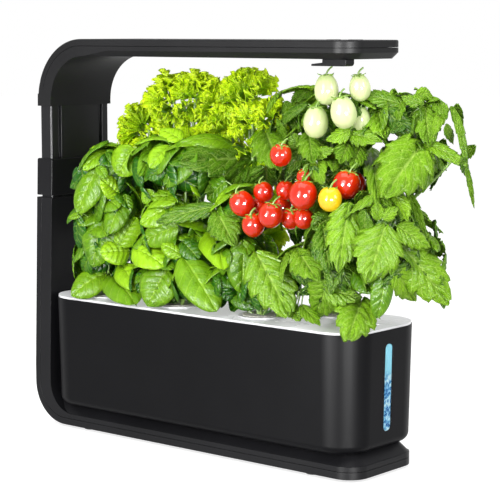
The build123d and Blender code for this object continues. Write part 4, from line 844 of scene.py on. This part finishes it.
# Fruit: cherry tomatoes on a branching truss, red but for one yellow, and five green plum tomatoes above.
# Each has a smooth waxy skin, a dimple at the stalk and a star of five thin sepals.
fruit_skin, fruit_in, fruit_out = new_group(
    "fruit_skin",
    [("Skin", "Color", (0.8, 0.02, 0.01, 1)), ("Shoulder", "Color", (0.7, 0.1, 0.01, 1))],
    [("Colour", "Color"), ("Height", "Float")],
)
flat = add_node(fruit_skin, "SeparateXYZ", Vector=add_node(fruit_skin, "UVMap", uv_map="UVMap").outputs["UV"])
top = add_node(fruit_skin, "MapRange", interpolation_type="SMOOTHSTEP", Value=flat.outputs["Y"], From_Min=0.55,
               From_Max=1.0)
spot = add_node(fruit_skin, "TexCoord").outputs["Object"]
cloud = add_node(fruit_skin, "TexNoise", Vector=spot, Scale=60.0, Detail=3.0).outputs["Fac"]
flush = add_node(fruit_skin, "MixRGB", Fac=reckon(fruit_skin, "MULTIPLY", top.outputs["Result"], cloud),
                 Color1=fruit_in.outputs["Skin"], Color2=fruit_in.outputs["Shoulder"])
pores = add_node(fruit_skin, "TexNoise", Vector=spot, Scale=1800.0, Detail=2.0)
feed(fruit_out, Colour=flush.outputs["Color"], Height=pores.outputs["Fac"])


def fruit_finish(name, skin, shoulder):
    """A fruit's waxy skin, which shades into its shoulder's colour round the stalk."""
    mat, tree, shader = new_finish(name)
    peel = add_node(tree, "Group", node_tree=fruit_skin, Skin=(*skin, 1), Shoulder=(*shoulder, 1))
    bump = add_node(tree, "Bump", Strength=0.3, Distance=0.03 * MM, Height=peel.outputs["Height"])
    feed(shader, Base_Color=peel.outputs["Colour"], Normal=bump.outputs["Normal"], Roughness=0.3,
         Specular_IOR_Level=0.05, Coat_Weight=0.8, Coat_Roughness=0.04)
    return mat


def sepal_form(over, out, seed):
    """A thin pointed sepal whose edges roll down."""
    return (out + 0.1) ** 0.3 * max(1 - out, 0) ** 0.6 / 0.62, 0.0, -0.3 * over * over


def dimpled(height, away):
    """The height of a round fruit's skin, sunk at the stalk and a little at the blossom end."""
    if height > 0:
        return height - 0.16 * math.exp(-(away / 0.28) ** 2)
    return height + 0.04 * math.exp(-(away / 0.2) ** 2)


def grow_fruit(places, stretch, name, mat, node, lean):
    """Fruit of one kind: turned profiles with a dimpled top, and their sepals and short stalks."""
    plum = stretch > 1.2
    bm, layer = new_foliage()
    star, star_layer = new_foliage()
    stems = []
    x, y = PODS["tomato"]
    for number, (a, b, c, r) in enumerate(places):
        middle = Vector((x + a * MM, y + b * MM, POD_TOP + c * MM))
        tilt = Vector((lean * math.sin(number * 2.1), -0.15 + lean * math.cos(number * 1.3), 1)).normalized()
        radius = r * MM
        made = bmesh.ops.create_uvsphere(bm, u_segments=32, v_segments=20, radius=1.0, calc_uvs=True)["verts"]
        turn = Vector((0, 0, 1)).rotation_difference(tilt)
        for vert in made:
            across, deep, height = vert.co
            bulge = 1 + 0.015 * math.cos(5 * math.atan2(deep, across) + number)
            if plum:
                bulge *= 1 - 0.1 * (height + 0.2)
            top = dimpled(height, math.hypot(across, deep)) * stretch
            vert.co = middle + turn @ Vector((across * bulge, deep * bulge, top)) * radius
        crown = middle + tilt * radius * (stretch - 0.14)
        for i in range(5):
            bearing = i * math.tau / 5 + number
            out = turn @ Vector((math.cos(bearing), math.sin(bearing), 0))
            end = crown + out * radius * 0.72 + tilt * radius * (0.12 if i % 2 else -0.02)
            plain_leaf(star, star_layer, crown + tilt * radius * 0.03, end, tilt, radius * 0.26, sepal_form,
                       -0.9 if i % 2 else 0.5, 0.6, 0.5, 0, 4, 8)
        stems.append(([crown - tilt * radius * 0.02, crown + tilt * radius * 0.3,
                       crown + tilt * radius * 0.45 + Vector((1, 7, 2)) * MM], 0.8 * MM))
    fruit = hung_piece(bm, name, mat)
    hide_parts(node)
    hung_piece(star, name + "_sepals", sepal_green, 0.25 * MM)
    stalks(stems, name + "_stalks", stalk_green, 1.0)


sepal_green = leaf_finish("sepal_green", (0.36, 0.55, 0.06), (0.1, 0.28, 0.02), (0.4, 0.6, 0.1), net=0.1)
red_skin = fruit_finish("red_skin", (0.63, 0.016, 0.0005), (0.7, 0.075, 0.002))
yellow_skin = fruit_finish("yellow_skin", (0.9, 0.55, 0.008), (0.9, 0.62, 0.02))
green_skin = fruit_finish("green_skin", (0.74, 0.82, 0.42), (0.25, 0.5, 0.015))
CHERRY, PLUM = 1.08, 1.3  # height by width
# Fruit: X, Y and Z off the tomato's pod, and radius, in millimetres.
grow_fruit([
    (20, -77, 118, 12.5), (-15, -79, 98, 11.0), (-50.3, -77, 106, 11.2), (-36, -78, 87.5, 10.3),
    (51.6, -56.5, 127.5, 12.2), (42, -33.5, 125, 11.5), (14.2, -69, 96.2, 9.0), (-7.2, -59.5, 94, 9.4),
    (-35, -65, 116.5, 9.0), (-13, -61, 119, 8.4), (-23.5, -53.5, 102, 9.3), (-45.5, -57, 103, 8.4),
    (8.3, -59, 131.5, 7.8), (-10, -71, 151, 9.8),
], CHERRY, "ripe_tomatoes", red_skin, "red_tomatoes", 0.35)
grow_fruit([(49.4, -77, 116, 10.4)], CHERRY, "yellow_fruit", yellow_skin, "yellow_tomato", 0.2)
grow_fruit([
    (20.6, -45, 209, 11.0), (15, -53, 180.5, 11.4), (45, -53, 190, 11.6), (50, -36, 211, 9.6),
    (46, -29, 183, 9.0),
], PLUM, "green_fruit", green_skin, "green_tomatoes", 0.12)

# Floor and room: a wide sheet of white paper that looks as bright as the room behind it, seen straight, in a
# gloss or through the window. The room lights the rest at half that strength.


def seen_by_camera(tree):
    """One for what the camera sees straight, in a gloss or through glass, and zero for the rest."""
    ray = add_node(tree, "LightPath").outputs
    glossed = reckon(tree, "MAXIMUM", ray["Is Camera Ray"], ray["Is Glossy Ray"])
    return reckon(tree, "MAXIMUM", glossed, ray["Is Transmission Ray"])


floor_paper, floor_tree, floor_shader = new_finish("floor_paper")
floor_glow = add_node(floor_tree, "MixRGB", Fac=seen_by_camera(floor_tree), Color1=(0, 0, 0, 1),
                      Color2=(0.74, 0.74, 0.74, 1))
feed(floor_shader, Emission_Color=floor_glow.outputs["Color"], Emission_Strength=1.0,
     Base_Color=(0.55, 0.55, 0.55, 1), Roughness=0.9, Specular_IOR_Level=0.0)
bm = bmesh.new()
bmesh.ops.create_circle(bm, cap_ends=True, segments=64, radius=9.0)
studio_floor = new_piece("studio_floor", bm, floor_paper)

world = bpy.data.worlds.new("studio")
bpy.context.scene.world = world
world.use_nodes = True
room = world.node_tree
room_level = add_node(room, "MapRange", Value=seen_by_camera(room), To_Min=0.5)
feed(room.nodes["Background"], Color=(1, 1, 1, 1), Strength=room_level.outputs["Result"])


# Lamps: a tall softbox in front, one to the right and a broad one above. Two low ones add only the gloss on
# the tank's corner and the fruit.
def softbox(name, place, aim, width, height, power, shape="ELLIPSE", gloss_only=False):
    """A soft lamp at a place, turned to what it aims at."""
    lamp = bpy.data.lights.new(name, "AREA")
    lamp.shape = shape
    lamp.size, lamp.size_y, lamp.energy = width, height, power
    box = bpy.data.objects.new(name, lamp)
    box.location = place
    box.rotation_euler = (Vector(aim) - Vector(place)).to_track_quat("-Z", "Y").to_euler()
    box.visible_diffuse = not gloss_only
    bpy.context.scene.collection.objects.link(box)


ON_PLANTS, ON_TANK = (0, 0, 0.2), (0, 0, 0.1)
softbox("front_box", (0.26, -1.5, 0.6), ON_PLANTS, 0.8, 1.1, 22)
softbox("front_glint", (0.05, -1.5, 0.2), ON_TANK, 0.5, 0.34, 80, gloss_only=True)
softbox("right_box", (1.6, -0.1, 0.8), ON_PLANTS, 0.5, 0.75, 11)
softbox("right_glint", (1.27, -0.8, 0.2), ON_TANK, 0.5, 0.34, 85, gloss_only=True)
softbox("top_box", (0.1, -0.3, 1.7), (0, 0, 0), 1.6, 1.2, 17, shape="RECTANGLE")

# Camera: a long lens as high as the lamp arm, looking down a little at the tank's near corner. Colours come
# out plain, with no film look.
camera = bpy.data.objects.new("camera", bpy.data.cameras.new("camera"))
camera.data.lens, camera.data.sensor_width = 126.85, 36.0
camera.data.clip_start, camera.data.clip_end = 0.05, 50.0
camera.location = (1.0525, -1.2581, 0.3952)
aim = Vector((0.00417, 0, 0.19011))
camera.rotation_euler = (aim - camera.location).to_track_quat("-Z", "Y").to_euler()
bpy.context.scene.collection.objects.link(camera)
bpy.context.scene.camera = camera
bpy.context.scene.view_settings.view_transform = "Standard"
